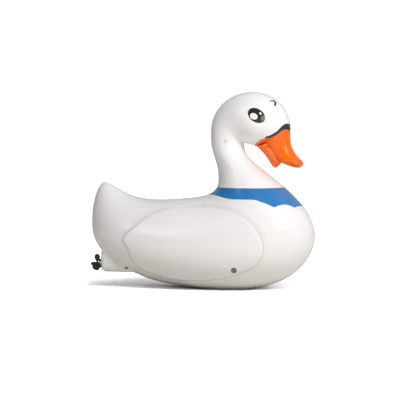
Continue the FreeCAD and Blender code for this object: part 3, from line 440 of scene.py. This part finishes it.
breast_plugs = plug("breast_plugs_soft", ["breast near", "breast far"], 0.5)
small_plugs = plug("small_plugs_soft", ["stern near", "stern far", "neck"], 0.3)

PAN = ((-92, -38, -10), (84, 38, 30))
PAN_CORNER = 9
combine(goose, rounded_block("pan_cutter", *PAN, PAN_CORNER), "DIFFERENCE")
for place in WELLS.values():
    combine(goose, well(*place), "DIFFERENCE")
print("cut skin:", len(goose.data.polygons), "faces")

# %% [markdown]
# The cutter for the belly plate leaves a pocket. Its walls are dropped, as is the cap over the
# neck of the bill, and what remains is an open skin. One bisect on the centre plane for each
# side and a Solidify inwards turn it into two moulded shells with the wall of the real ones.

# %% Split the skin into two shells
WALL = 2.2
SLACK = 0.1  # how far off a face may lie and still count


def in_pan_pocket(spot, normal):
    """True on the roof and on the upright walls that the pan's cutter left."""
    (x0, _, _), (x1, y1, z1) = PAN
    end_gap, side_gap = min(spot.x - x0, x1 - spot.x), y1 - abs(spot.y)
    if min(end_gap, side_gap, z1 - spot.z) <= -SLACK:
        return False
    by_wall = min(end_gap, side_gap) < SLACK
    by_corner = max(end_gap, side_gap) < PAN_CORNER + SLACK
    upright = abs(normal.z) < 0.1
    return upright and (by_wall or by_corner) or abs(spot.z - z1) < SLACK


def in_bill_cap(spot, normal):
    """True on the flat face that closes the last rib of the head."""
    back_x, back_z, low_x, low_z, _ = BODY_RIBS[-1]
    facing = Vector((back_z - low_z, 0, low_x - back_x)).normalized()
    off_plane = (spot - Vector((low_x, 0, low_z))).dot(facing)
    return normal.dot(facing) > 0.99 and abs(off_plane) < 0.2


def shell(name, side):
    """The near (-1) or far (1) half of the skin, as a wall."""
    half = twin(goose, name)
    work_on(half, "EDIT")
    op.select_all(action="SELECT")
    op.bisect(plane_co=(0, side * 0.04 * MM, 0), plane_no=(0, -side, 0), clear_outer=True)
    pick(half, "FACE", lambda spot, n: in_pan_pocket(spot, n) or in_bill_cap(spot, n))
    op.delete(type="FACE")
    modify(half, "SOLIDIFY", thickness=WALL * MM, offset=-1.0)
    work_on(half)
    bpy.ops.object.shade_smooth_by_angle(angle=math.radians(42))
    return half


near_shell = shell("near_shell", -1)
far_shell = shell("far_shell", 1)
discard(goose)
print("near shell:", len(near_shell.data.polygons), "faces")

# %% [markdown]
# The bill is one orange moulding: an upper and a lower half that grow from the head's last rib
# and part at the corner of the mouth. Both are skinned over ribs of their own and joined. The
# crease between them is kept, and small hollows mark the mouth's corner and the nostrils.

# %% The bill
def hollow(piece, name, x, z, radius, depth, reach=8):
    """Sink a small round hollow into both sides of a piece."""
    points = np.empty(3 * len(piece.data.vertices))
    piece.data.vertices.foreach_get("co", points)
    points = points.reshape(-1, 3) / MM
    away = np.hypot(points[:, 0] - x, points[:, 2] - z)
    weights = (1 - smooth_step(away, 0.2 * radius, radius)) * (np.abs(points[:, 1]) > reach)
    push(piece, name, weights, -depth)


bill = skin("orange_bill", batten(UPPER_BILL_RIBS, 9), 128)
upper_surface = surface_of(bill)
lower_bill = skin("lower_bill", batten(LOWER_BILL_RIBS, 6), 96)
lower_surface = surface_of(lower_bill)
combine(bill, lower_bill, "UNION")


def by_the_crease(spot, normal):
    """True in the lower part of the crease, which is close to both bills."""
    to_upper = upper_surface.find_nearest(spot * MM)[3]
    to_lower = lower_surface.find_nearest(spot * MM)[3]
    return spot.z < 224 and max(to_upper, to_lower) < 1.2 * MM


pick(bill, "VERT", by_the_crease)
op.vertices_smooth(factor=0.5, repeat=4)
bpy.ops.object.mode_set(mode="OBJECT")
hollow(bill, "mouth_corner", 107.0, 225.6, 3.4, 0.9)
hollow(bill, "nostril", 131.5, 234.0, 2.6, 1.0, reach=3)
work_on(bill)
bpy.ops.object.shade_smooth_by_angle(angle=math.radians(60))
print("bill:", len(bill.data.polygons), "faces")

# %% [markdown]
# What shows under the tail and under the belly is mostly the CAD model's own: the plate with its
# door, the battery lid, the switch. Its shapes are right, but its triangles are loose and its
# edges are razor sharp. A copy of each is merged, its edges are eased by a Bevel that looks at
# the angle, and its curves are shaded smooth.

# %% Dress the CAD parts that show
def dress(node, ease):
    """A copy of a CAD node with its triangles merged, its edges eased and its curves smooth."""
    piece = twin(frame["nodes"][node], node + "_dressed")
    piece.parent = None
    work_on(piece, "EDIT")
    op.select_all(action="SELECT")
    op.remove_doubles(threshold=0.002 * MM)
    op.dissolve_limited(angle_limit=math.radians(0.5))
    bpy.ops.object.mode_set(mode="OBJECT")
    modify(piece, "BEVEL", width=ease * MM, segments=2, limit_method="ANGLE",
           angle_limit=math.radians(40))
    work_on(piece)
    bpy.ops.object.shade_smooth_by_angle(angle=math.radians(35))
    return piece


EASE = {"belly_pan": 0.25, "tablet_door": 0.25, "vent_slider": 0.2, "battery_lid": 0.3,
        "lid_screws": 0.15, "shell_screws": 0.15, "switch_body": 0.2, "switch_slider": 0.3,
        "stern_tube_right": 0.1, "stern_tube_left": 0.1, "motor_cradle": 0.4,
        "motor_right": 0.4, "motor_left": 0.4, "receiver_board": 0.1}
dressed = {node: dress(node, ease) for node, ease in EASE.items()}
print("dressed:", ", ".join(dressed))

# %% [markdown]
# Each propeller has three round paddles that twist from hub to tip, which a flat slab can't
# show. A blade starts as a grid, whose rows are drawn in to the paddle's outline; a Simple
# Deform twists it, Solidify gives it its thickness, and the hub is a cylinder with its end
# extruded to a blunt point.

# %% The propellers
HUB = {"front": -163.0, "long": 11.0, "radius": 3.4, "tip": 4.0}
BLADE = {"x": -167.0, "root": 1.5, "reach": 16.3, "round": 6.3, "neck": 2.6, "thick": 1.2,
         "pitch": 30.0, "twist": -38.0}


def blade_half_width(radius):
    """Half the blade's width at a distance from the shaft: a neck that opens into a disc."""
    disc = BLADE["round"] ** 2 - (radius - BLADE["reach"] + BLADE["round"]) ** 2
    return max(math.sqrt(max(disc, 1.0)), BLADE["neck"] if radius < 8 else 0)


def blade(hand, turn):
    """One blade, pitched and twisted to one hand, at its turn round the shaft."""
    rows = 16
    low, high = BLADE["root"], BLADE["reach"]
    piece = new_piece("blade")
    op.primitive_grid_add(x_subdivisions=rows, y_subdivisions=8, size=1, rotation=(0, TAU / 4, 0))
    bpy.ops.transform.resize(value=(1, 2 * MM, (high - low) * MM), center_override=(0, 0, 0))
    bpy.ops.transform.translate(value=(0, 0, (low + high) / 2 * MM))
    for row in range(rows + 1):
        level = low + (high - low) * row / rows
        pick(piece, "VERT", lambda spot, n: abs(spot.z - level) < 0.1)
        bpy.ops.transform.resize(value=(1, blade_half_width(level), 1),
                                 center_override=(0, 0, level * MM))
    bpy.ops.object.mode_set(mode="OBJECT")
    modify(piece, "SIMPLE_DEFORM", deform_method="TWIST", deform_axis="Z",
           angle=hand * math.radians(BLADE["twist"]))
    modify(piece, "SOLIDIFY", thickness=BLADE["thick"] * MM, offset=0.0)
    modify(piece, "BEVEL", width=0.35 * MM, segments=3, limit_method="ANGLE",
           angle_limit=math.radians(50))
    work_on(piece, "EDIT")
    op.select_all(action="SELECT")
    for angle, axis in ((hand * BLADE["pitch"], "Z"), (turn, "X")):
        bpy.ops.transform.rotate(value=math.radians(angle), orient_axis=axis,
                                 center_override=(0, 0, 0))
    bpy.ops.transform.translate(value=(BLADE["x"] * MM, hand * drive_y * MM, drive_z * MM))
    bpy.ops.object.mode_set(mode="OBJECT")
    return piece


def propeller(name, side):
    """The hub with its blunt point, and the three blades joined to it."""
    rear = HUB["front"] - HUB["long"]
    piece = new_piece(name)
    y = side * drive_y
    round_bar((rear, y, drive_z), (HUB["front"], y, drive_z), HUB["radius"], 40)
    centre = Vector((rear, y, drive_z)) * MM
    for step_back, shrink in ((0.5 * HUB["tip"], 0.78), (0.5 * HUB["tip"], 0.4)):
        pick(piece, "FACE", lambda spot, n: n.x < -0.99)
        op.extrude_region_move(TRANSFORM_OT_translate={"value": (-step_back * MM, 0, 0)})
        bpy.ops.transform.resize(value=(1, shrink, shrink), center_override=centre)
    bpy.ops.object.mode_set(mode="OBJECT")
    modify(piece, "BEVEL", width=0.4 * MM, segments=2, limit_method="ANGLE",
           angle_limit=math.radians(25))
    for turn in (0, 120, 240):
        combine(piece, blade(side, turn), "UNION")
    work_on(piece)
    bpy.ops.object.shade_smooth_by_angle(angle=math.radians(40))
    return piece


for side, node in ((-1, "propeller_right"), (1, "propeller_left")):
    dressed[node] = propeller(node + "_twisted", side)
    print(node, len(dressed[node].data.polygons), "faces")

# %% [markdown]
# Now the finishes. A finish is a board of shader nodes. Sums on node outputs are easiest to read
# as ordinary Python, so a small class stands for one output and turns each sign into a Math
# node. Every other node comes from one method of the board, which takes the node's kind, its
# settings and what goes into its sockets.

# %% Sums on shader outputs
class Flow:
    """One output of a shader node. Python's own signs do sums on it."""

    def __init__(self, board, socket):
        self.board, self.socket = board, socket

    def sum(self, operation, first, second=0.0):
        return self.board.add("Math", {"operation": operation}, {0: first, 1: second})

    def __add__(self, other):
        return self.sum("ADD", self, other)

    def __sub__(self, other):
        return self.sum("SUBTRACT", self, other)

    def __rsub__(self, other):
        return self.sum("SUBTRACT", other, self)

    def __mul__(self, other):
        return self.sum("MULTIPLY", self, other)

    def __truediv__(self, other):
        return self.sum("DIVIDE", self, other)

    def __abs__(self):
        return self.sum("ABSOLUTE", self)

    __radd__, __rmul__ = __add__, __mul__


# %% [markdown]
# The board itself holds one material. It starts with the Object coordinates in millimetres, so
# that a mask or a grain is given in the same sizes as the model, and it ends by feeding the
# Principled shader that every material begins with.

# %% The board of one finish
class Board:
    """The shader nodes of one finish. Places on it are in millimetres from the origin."""

    def __init__(self, name):
        self.material = bpy.data.materials.new(name)
        self.material.use_nodes = True
        self.tree = self.material.node_tree
        self.shader = self.tree.nodes["Principled BSDF"]
        coordinates = self.add("TexCoord", output="Object")
        self.place = self.add("VectorMath", {"operation": "SCALE"},
                              {0: coordinates, "Scale": 1 / MM})
        self.x, self.y, self.z = (self.add("SeparateXYZ", {}, {0: self.place}, axis)
                                  for axis in "XYZ")

    def add(self, kind, settings=None, sockets=None, output=0):
        """Any node, by its kind: its settings first, then what its sockets get."""
        node = self.tree.nodes.new("ShaderNode" + kind)
        for name, value in (settings or {}).items():
            if name == "points":
                self.draw_curve(node.mapping, value)
            else:
                setattr(node, name, value)
        for key, value in (sockets or {}).items():
            self.feed(node.inputs[key], value)
        return Flow(self, node.outputs[output])

    def feed(self, socket, value):
        if isinstance(value, Flow):
            self.tree.links.new(value.socket, socket)
        else:
            socket.default_value = value

    def draw_curve(self, mapping, points):
        """Bend a curve through points in order. A third value marks a sharp corner."""
        line = mapping.curves[0].points
        line[0].location, line[-1].location = points[0][:2], points[-1][:2]
        for spot in points[1:-1]:
            line.new(*spot[:2])
        for point, spot in zip(line, points):
            point.handle_type = "VECTOR" if len(spot) > 2 else "AUTO_CLAMPED"
        mapping.update()

    def curve(self, value, low, high, bottom, top, points):
        """A drawn curve: value runs from low to high, and the result from bottom to top."""
        fitted = [((x - low) / (high - low), (y - bottom) / (top - bottom), *corner)
                  for x, y, *corner in points]
        drawn = self.add("FloatCurve", {"points": fitted},
                         {"Value": (value - low) / (high - low)})
        return drawn * (top - bottom) + bottom

    def step(self, value, soft=0.25):
        """Nought where a value is below zero and one above it, with a soft edge."""
        return self.add("MapRange", {"interpolation_type": "SMOOTHSTEP"},
                        {"Value": value, "From Min": -soft, "From Max": soft})

    def mix(self, factor, first, second):
        return self.add("Mix", {"data_type": "RGBA"}, {0: factor, 6: first, 7: second}, 2)

    def noise(self, grain, detail=3.0, stretch=(1, 1, 1)):
        """Cloudy noise whose patches are about a grain wide, in millimetres."""
        spread = self.add("VectorMath", {"operation": "MULTIPLY"},
                          {0: self.place, 1: tuple(1 / (grain * pull) for pull in stretch)})
        return self.add("TexNoise", {}, {"Vector": spread, "Scale": 1.0, "Detail": detail})

    def finish(self, colour, roughness, height=None, lift=0.05, **constants):
        """Feed the shader. A height map is a bump whose full swing is lift millimetres."""
        self.feed(self.shader.inputs["Base Color"], colour)
        self.feed(self.shader.inputs["Roughness"], roughness)
        if height:
            bump = self.add("Bump", {}, {"Height": height, "Distance": lift * MM, "Strength": 1.0})
            self.feed(self.shader.inputs["Normal"], bump)
        for name, value in constants.items():
            self.shader.inputs[name.replace("_", " ")].default_value = value
        return self.material


def shade(red, green, blue):
    """A colour as seen on screen, from 0 to 255, as the light values that shaders work in."""
    return tuple(((c / 255 + 0.055) / 1.055) ** 2.4 if c > 10 else c / 3294.6
                 for c in (red, green, blue)) + (1.0,)


print("the white is", [round(c, 2) for c in shade(240, 237, 238)])

# %% [markdown]
# The goose is moulded in white and orange, and its features are sprayed on through masks: a
# blue collar with a scalloped lower edge, a black line where the bill begins, and the eyes and
# brows. A mask is drawn here as a condition on a place. The outlines are drawn as seen from the
# side, so both sides get the same paint. The alternative, an image wrapped on the head, would
# need an unwrapped mesh and would blur.

# %% Where the paint goes
# The bill joins the head along a straight line, as seen from the side. Its lower end and its
# direction come first, and then how far the paint's edges stand off it along its length.
JAW_ROOT = (87.0, 225.5)
JAW_SLOPE = (0.8296, 0.5583)
ORANGE_EDGE = [(0, 2.6), (4, 3.4), (12, 4.0), (20.7, 1.6), (30.7, -2.7), (41, -3.6), (49, -3.1),
               (55, -4.4), (58.5, -9.5), (66, -20)]
BLACK_EDGE = [(0, -2), (12, 2.5), (20.7, 1.6), (23, 2.6), (32.2, 0.7), (41.5, 0.2), (51, 2.3),
              (57, 3.3), (62.6, 1.6), (66, -4)]
COLLAR_TOP = 161.5
COLLAR_EDGE = [(0, 150.2), (29, 149), (45, 145.9), (60, 144.4), (86, 144.4), (104, 140.2),
               (122.8, 132.6, "sharp"), (130, 135.6), (137, 136.4), (144, 134.8),
               (151, 131.1, "sharp"), (157, 132.6), (165, 128), (180, 116)]
BROW = (114.0, 292.2, 5.15)  # centre x and z of an arc, and its radius
# The ovals are given by centre x and z, half axes, and a tilt in degrees.
# The grey oval on the eye's front end is a painted reflection.
EYE_PAINTED_REFLECTION = (102.6, 270.4, 4.5, 3.4, 60)
BIG_GLINT, GLINT_HEART = (88.0, 272.9, 6.2, 4.7, -25), (88.0, 272.9, 3.4, 2.4, -25)
SMALL_GLINT = (98.2, 277.2, 2.2, 1.5, -40)
# The mouth's corner and the nostril ovals are painted shade: darker patches over their hollows.
MOUTH_CORNER_SHADE, NOSTRIL_SHADE = (107.2, 225.6, 3.2, 1.7, -8), (134.8, 235.6, 1.2, 0.8, -20)


def oval(board, x, z, long, short, tilt):
    """Distance from an oval's centre, where 1 is its edge. The tilt is in degrees."""
    across, up = board.x - x, board.z - z
    c, s = math.cos(math.radians(tilt)), math.sin(math.radians(tilt))
    u = (across * c + up * s) / long
    v = (up * c - across * s) / short
    square = u * u + v * v
    return square.sum("SQRT", square)


def inside(board, distance, soft=0.03):
    """One inside an oval and nought outside it."""
    return board.step(1 - distance, soft)


def bill_paint(board, colour, limit):
    """Orange in front of the bill's root, with the black line that follows it, and painted shade
    darkening the mouth's corner and the nostril.
    """
    root_x, root_z = JAW_ROOT
    dx, dz = JAW_SLOPE
    along = (board.x - root_x) * dx + (board.z - root_z) * dz
    above = (board.z - root_z) * dx - (board.x - root_x) * dz
    orange_line = board.curve(along, 0, 66, -20, 10, ORANGE_EDGE)
    black_line = board.curve(along, 0, 66, -20, 10, BLACK_EDGE)
    colour = board.mix(board.step(black_line - above) * limit, colour, shade(46, 48, 38))
    orange = board.mix(board.noise(30), shade(250, 104, 8), shade(255, 114, 12))
    # Painted shade darkens the orange in the mouth's corner and the nostril.
    corner = inside(board, oval(board, *MOUTH_CORNER_SHADE), 0.8)
    orange = board.mix(corner * 0.6, orange, shade(120, 42, 12))
    nostril = inside(board, oval(board, *NOSTRIL_SHADE), 0.5)
    orange = board.mix(nostril * 0.5, orange, shade(150, 60, 20))
    return board.mix(board.step(orange_line - above) * limit, colour, orange)


def eye_paint(board, colour):
    """A dark oval with two pale glints, a painted grey reflection at its front end, and the brow
    above.
    """
    x, z, long, short, tilt = EYE
    eye = oval(board, x, z, long, short, math.degrees(tilt))
    # Painted reflection: a grey patch over the eye's front end.
    painted_reflection = inside(board, oval(board, *EYE_PAINTED_REFLECTION), 0.7)
    dark = board.mix(painted_reflection, shade(42, 44, 36), shade(128, 133, 118))
    colour = board.mix(inside(board, eye), colour, dark)
    heart = inside(board, oval(board, *GLINT_HEART), 0.7)
    glint = board.mix(heart, shade(255, 254, 246), shade(238, 238, 222))
    colour = board.mix(inside(board, oval(board, *BIG_GLINT), 0.06), colour, glint)
    small = inside(board, oval(board, *SMALL_GLINT), 0.15)
    colour = board.mix(small, colour, shade(255, 255, 250))
    brow_x, brow_z, radius = BROW
    across, up = board.x - brow_x, board.z - brow_z
    ring = abs(oval(board, brow_x, brow_z, radius, radius, 0) - 1) * radius
    upper_half = board.step(across * 0.62 + up * 0.78 - 0.3)
    stroke = board.step(0.85 + across * 0.09 - ring, 0.2) * upper_half
    return board.mix(stroke, colour, shade(40, 42, 36))


def collar_paint(board, colour):
    """A blue collar round the root of the neck."""
    edge = board.curve(board.x, 0, 180, 110, 150, COLLAR_EDGE)
    mask = board.step(board.z - edge) * board.step(COLLAR_TOP - board.z) * board.step(board.x)
    blue = board.mix(board.noise(40), shade(44, 116, 182), shade(56, 130, 196))
    return board.mix(mask, colour, blue)


# %% [markdown]
# The moulded white has a high gloss, but it isn't a mirror: it ripples like orange peel, it is a
# little duller where it has been handled, and a fine groove runs along the joint of the two shells.
# A thin line of painted shade lies in the step round the wing, and a faint band of painted shade
# lies outside its upper edge.

# %% The finish of the shells and of the bill
def white_plastic(board):
    """The bare white, with faint clouds, and painted shade that makes it darker and yellower towards
    the belly.
    """
    # Painted shade: the lower part is mixed towards a darker, warmer white.
    low = board.step(60 - board.z, 60)
    unshaded_tone = board.mix(board.noise(60), shade(240, 237, 238), shade(246, 243, 243))
    return board.mix(low * 0.3, unshaded_tone, shade(232, 225, 214))


def gloss(board):
    """Roughness: glossy, with cloudy duller patches and a few fine scuffs."""
    scuffs = board.step(board.noise(9, 6.0, (1, 1, 6)) - 0.66, 0.03)
    return 0.13 + board.noise(35) * 0.08 + scuffs * 0.08


def seam(board):
    """One in the groove between the shells, on the centre plane."""
    return board.step(0.35 - abs(board.y), 0.15)


shell_board = Board("white_shell_finish")
on_head = shell_board.step(shell_board.z - 221) * shell_board.step(shell_board.x - 80, 2)
body_colour = collar_paint(shell_board, white_plastic(shell_board))
body_colour = eye_paint(shell_board, bill_paint(shell_board, body_colour, on_head))
step_line = shell_board.add("Attribute", {"attribute_name": "wing_depth"}, {}, "Fac")
below_top = shell_board.step(118 - shell_board.z, 25)
upper_edge = shell_board.step(shell_board.z - 70, 30)
# Painted shade: a thin dark line in the wing's step, and a faint band outside its upper edge; the
# seam's dark line is the joint's own groove.
wing_step_shade = shell_board.step(0.7 - abs(step_line + 1.2), 0.9) * below_top
wing_valley_shade = shell_board.step(3.2 - abs(step_line + 3.4), 3) * upper_edge
seam_and_painted_shade = wing_step_shade * 0.30 + wing_valley_shade * 0.10 + seam(shell_board) * 0.35
body_colour = shell_board.mix(seam_and_painted_shade, body_colour, shade(120, 114, 108))
peel = shell_board.noise(1.6, 2.0) * 0.4 - seam(shell_board)
shell_finish = shell_board.finish(body_colour, gloss(shell_board), peel, 0.05, Coat_Weight=0.25,
                                  Coat_Roughness=0.06)

bill_board = Board("orange_bill_finish")
bill_colour = bill_paint(bill_board, white_plastic(bill_board), 1.0)
bill_finish = bill_board.finish(bill_colour, gloss(bill_board), bill_board.noise(1.6, 2.0), 0.02,
                                Specular_IOR_Level=0.35, Coat_Weight=0.2, Coat_Roughness=0.06)
print("shell nodes:", len(shell_board.tree.nodes), "bill nodes:", len(bill_board.tree.nodes))

# %% [markdown]
# The small parts come in families: moulded plastics, rubbers and metals. One function makes
# each family, with a colour, a roughness and a grain, and none is a single flat colour: plastic
# has a fine moulded texture, rubber is mottled and chalky, and metal has streaks along the way
# that it was drawn or turned.

# %% Finishes of the smaller parts
def moulded(name, colour, roughness, grain=0.6):
    """Moulded plastic: faint clouds, a fine texture and slightly worn patches."""
    board = Board(name + "_finish")
    darker = tuple(channel * 0.82 for channel in colour[:3]) + (1.0,)
    clouds = board.mix(board.noise(14), darker, colour)
    return board.finish(clouds, roughness + board.noise(5) * 0.15, board.noise(grain, 2.0), 0.03)


def rubber(name, colour):
    """Soft rubber: dull and mottled, with a chalky bloom in places."""
    board = Board(name + "_finish")
    bloom = tuple(0.6 * channel + 0.12 for channel in colour[:3]) + (1.0,)
    mottled = board.mix(board.step(board.noise(4) - 0.55, 0.2) * 0.5, colour, bloom)
    return board.finish(mottled, 0.55 + board.noise(3) * 0.3, board.noise(0.35, 2.0), 0.05)


def pale_rubber():
    """The small plugs: nearly white on the neck, and coloured dark beside the stern as painted shade
    for their wells.
    """
    board = Board("pale_rubber_finish")
    # Painted shade: the plugs beside the stern are coloured dark for the shade in their wells.
    stern_plug_shade = board.mix(board.noise(3), shade(84, 80, 74), shade(122, 116, 108))
    unshaded_tone = board.mix(board.noise(4), shade(206, 203, 196), shade(222, 219, 213))
    return board.finish(board.mix(board.step(board.x), stern_plug_shade, unshaded_tone), 0.6, board.noise(0.35, 2.0))


def drawn_metal(name, colour, roughness, streaks=(1, 1, 1)):
    """Metal with fine streaks; the stretch says which way they run."""
    board = Board(name + "_finish")
    lines = board.noise(0.5, 4.0, streaks)
    tone = tuple(channel * 0.7 for channel in colour[:3]) + (1.0,)
    return board.finish(board.mix(lines, tone, colour), roughness + lines * 0.2, lines, 0.01,
                        Metallic=1.0)


def lacquered_board():
    """A circuit board: green lacquer over paler copper tracks."""
    board = Board("green_board_finish")
    tracks = board.add("TexBrick", {"offset": 0.37}, {
        "Vector": board.place, "Scale": 0.22, "Mortar Size": 0.03, "Color1": shade(14, 84, 44),
        "Color2": shade(20, 98, 52), "Mortar": shade(96, 140, 70)})
    return board.finish(tracks, 0.25 + board.noise(6) * 0.1, board.noise(1.0), 0.02)


def cast_weight():
    """Rough cast metal: pitted, with darker hollows."""
    board = Board("cast_ballast_finish")
    pits = board.noise(1.8, 5.0)
    return board.finish(board.mix(pits, shade(52, 52, 54), shade(104, 104, 106)),
                        0.6 + pits * 0.2, pits, 0.4, Metallic=0.7)


def cell_sleeve():
    """A shrunk sleeve: dark blue, with a copper-coloured band at the button end."""
    board = Board("cell_sleeve_finish")
    ends = board.mix(board.step(board.x + 40, 0.2), shade(26, 40, 74), shade(176, 112, 58))
    return board.finish(ends, 0.22 + board.noise(8) * 0.1, board.noise(3.0), 0.03)


FINISHES = {
    "white_shell": shell_finish, "orange_bill": bill_finish,
    "white_pan": moulded("white_pan", shade(238, 235, 232), 0.24),
    "black_rubber": rubber("black_rubber", shade(36, 36, 38)),
    "grey_rubber": rubber("grey_rubber", shade(122, 116, 108)),
    "pale_rubber": pale_rubber(),
    "steel": drawn_metal("steel", shade(205, 205, 208), 0.22, (12, 1, 1)),
    "blue_slider": moulded("blue_slider", shade(48, 120, 190), 0.32),
    "grey_plastic": moulded("grey_plastic", shade(150, 152, 156), 0.4),
    "black_plastic": moulded("black_plastic", shade(44, 44, 40), 0.34),
    "green_board": lacquered_board(), "cast_ballast": cast_weight(),
    "cell_sleeve": cell_sleeve(),
    "motor_can": drawn_metal("motor_can", shade(214, 214, 216), 0.2, (20, 1, 1)),
    "brass": drawn_metal("brass", shade(214, 178, 100), 0.25, (12, 1, 1)),
}
for part in frame["record"]["subparts"]:
    for slot in frame["nodes"][part["node"]].material_slots:
        slot.material = FINISHES[part["material_slot"]]

# %% [markdown]
# The camera stands where the photographer stood: a little in front of the goose's right side and
# slightly above its back, with a long lens.

# %% Camera
target = Vector((-3.8, 0, 139.9)) * MM
azimuth, elevation, distance = math.radians(10), math.radians(3), 2.0
back = Vector((math.sin(azimuth) * math.cos(elevation), -math.cos(azimuth) * math.cos(elevation),
               math.sin(elevation)))
lens = bpy.data.cameras.new("camera")
lens.sensor_width = 36
lens.lens = 112.4
camera = bpy.data.objects.new("camera", lens)
bpy.context.collection.objects.link(camera)
camera.location = target + distance * back
camera.rotation_euler = back.to_track_quat("Z", "Y").to_euler()
bpy.context.scene.camera = camera
print("camera at", [round(value, 3) for value in camera.location])

# %% [markdown]
# The photograph has a soft light in front of the breast, a wide one above the camera and a faint
# one towards the stern. The whites get the rest of their light from a white sweep behind and
# below, so that the tail and the belly fall into a soft grey. The world is bright behind the
# goose and dim towards the camera, and plain white where the camera looks straight at it. The
# floor reflects like pale paper, but the camera sees it burnt out to white, with the shadow
# left in it.

# %% The world
class Sky(Board):
    """The world's nodes, on the same kind of board."""

    def __init__(self, world):
        world.use_nodes = True
        self.tree = world.node_tree


WHITE = (1, 1, 1, 1)
world = bpy.data.worlds.new("studio")
sky = Sky(world)
direction = sky.add("TexCoord", output="Generated")
facing = sky.add("VectorMath", {"operation": "DOT_PRODUCT"},
                 {0: direction, 1: (0.40, 0.90, 0.10)}, "Value")
light_there = sky.add("MapRange", {"interpolation_type": "SMOOTHSTEP"},
                      {"Value": facing, "From Min": -0.4, "From Max": 0.7,
                       "To Min": 0.03, "To Max": 0.42})
seen = sky.add("LightPath", output="Is Camera Ray")
backdrop = sky.tree.nodes["Background"]
sky.feed(backdrop.inputs["Color"], WHITE)
sky.feed(backdrop.inputs["Strength"], light_there * (1 - seen) + seen * 1.05)
bpy.context.scene.world = world
bpy.context.scene.view_settings.view_transform = "Standard"
print("world nodes:", len(sky.tree.nodes))

# %% [markdown]
# The lamps are square soft boxes on a sphere round the goose. Only the breast and stern lights
# mirror in the gloss, because the photograph has no highlight where the main light would show.
# The floor is a wide plane whose paper is lit by itself beyond the goose's shadow, so that it
# burns out to white there and keeps the shadow near the belly.

# %% The soft boxes and the floor
def soft_box(name, azimuth, elevation, size, power, mirrored=True, distance=1.7):
    """A square lamp that looks at the goose from a bearing in degrees: 0 is square to its right
    side, and more is towards the bill. Unless it is mirrored, it leaves no highlight."""
    lamp = bpy.data.lights.new(name, "AREA")
    lamp.size, lamp.energy = size, power
    light = bpy.data.objects.new(name, lamp)
    bpy.context.collection.objects.link(light)
    turn, rise = math.radians(azimuth), math.radians(elevation)
    out = Vector((math.sin(turn) * math.cos(rise), -math.cos(turn) * math.cos(rise), math.sin(rise)))
    light.location = out * distance + Vector((0, 0, 0.14))
    light.rotation_euler = out.to_track_quat("Z", "Y").to_euler()
    light.visible_glossy = mirrored


soft_box("main_light", 26, 46, 0.6, 15.5, mirrored=False)
soft_box("breast_light", 55, 24, 0.8, 8.5)
soft_box("stern_light", -32, 29, 0.7, 2.6)
deselect()
bpy.ops.mesh.primitive_plane_add(size=40)
floor = bpy.context.object
floor.name = "floor"
paper = Board("floor_finish")
seen = paper.add("LightPath", output="Is Camera Ray")
span = paper.add("VectorMath", {"operation": "MULTIPLY"},
                 {0: paper.place, 1: (1 / 190, 1 / 130, 1)})
reach = paper.add("VectorMath", {"operation": "LENGTH"}, {0: span}, "Value")
glow = paper.mix(seen, (0.15, 0.15, 0.14, 1), WHITE)
paper.feed(paper.shader.inputs["Emission Color"],
           paper.mix(paper.step(reach - 1.2, 0.45), (0, 0, 0, 1), glow))
bright = paper.mix(seen, (0.80, 0.79, 0.75, 1), (2.1, 2.1, 2.2, 1))
floor.data.materials.append(paper.finish(bright, 0.8, Emission_Strength=1.0))

# %% [markdown]
# Last, every new piece rides on the CAD body of the node it stands for and gets that node's finish,
# and the CAD node itself is hidden.

# %% Hand the pieces to the frame
BODY_OF = {node: body for body, nodes in frame["record"]["behaviour"]["bodies"].items()
           for node in nodes}
SLOT_OF = {part["node"]: part["material_slot"] for part in frame["record"]["subparts"]}
dressed.update({"right_shell": near_shell, "left_shell": far_shell, "bill": bill,
                "breast_plugs": breast_plugs, "small_plugs": small_plugs})
for node, piece in dressed.items():
    piece.data.materials.clear()
    piece.data.materials.append(FINISHES[SLOT_OF[node]])
    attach(piece, BODY_OF[node])
    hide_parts(node)
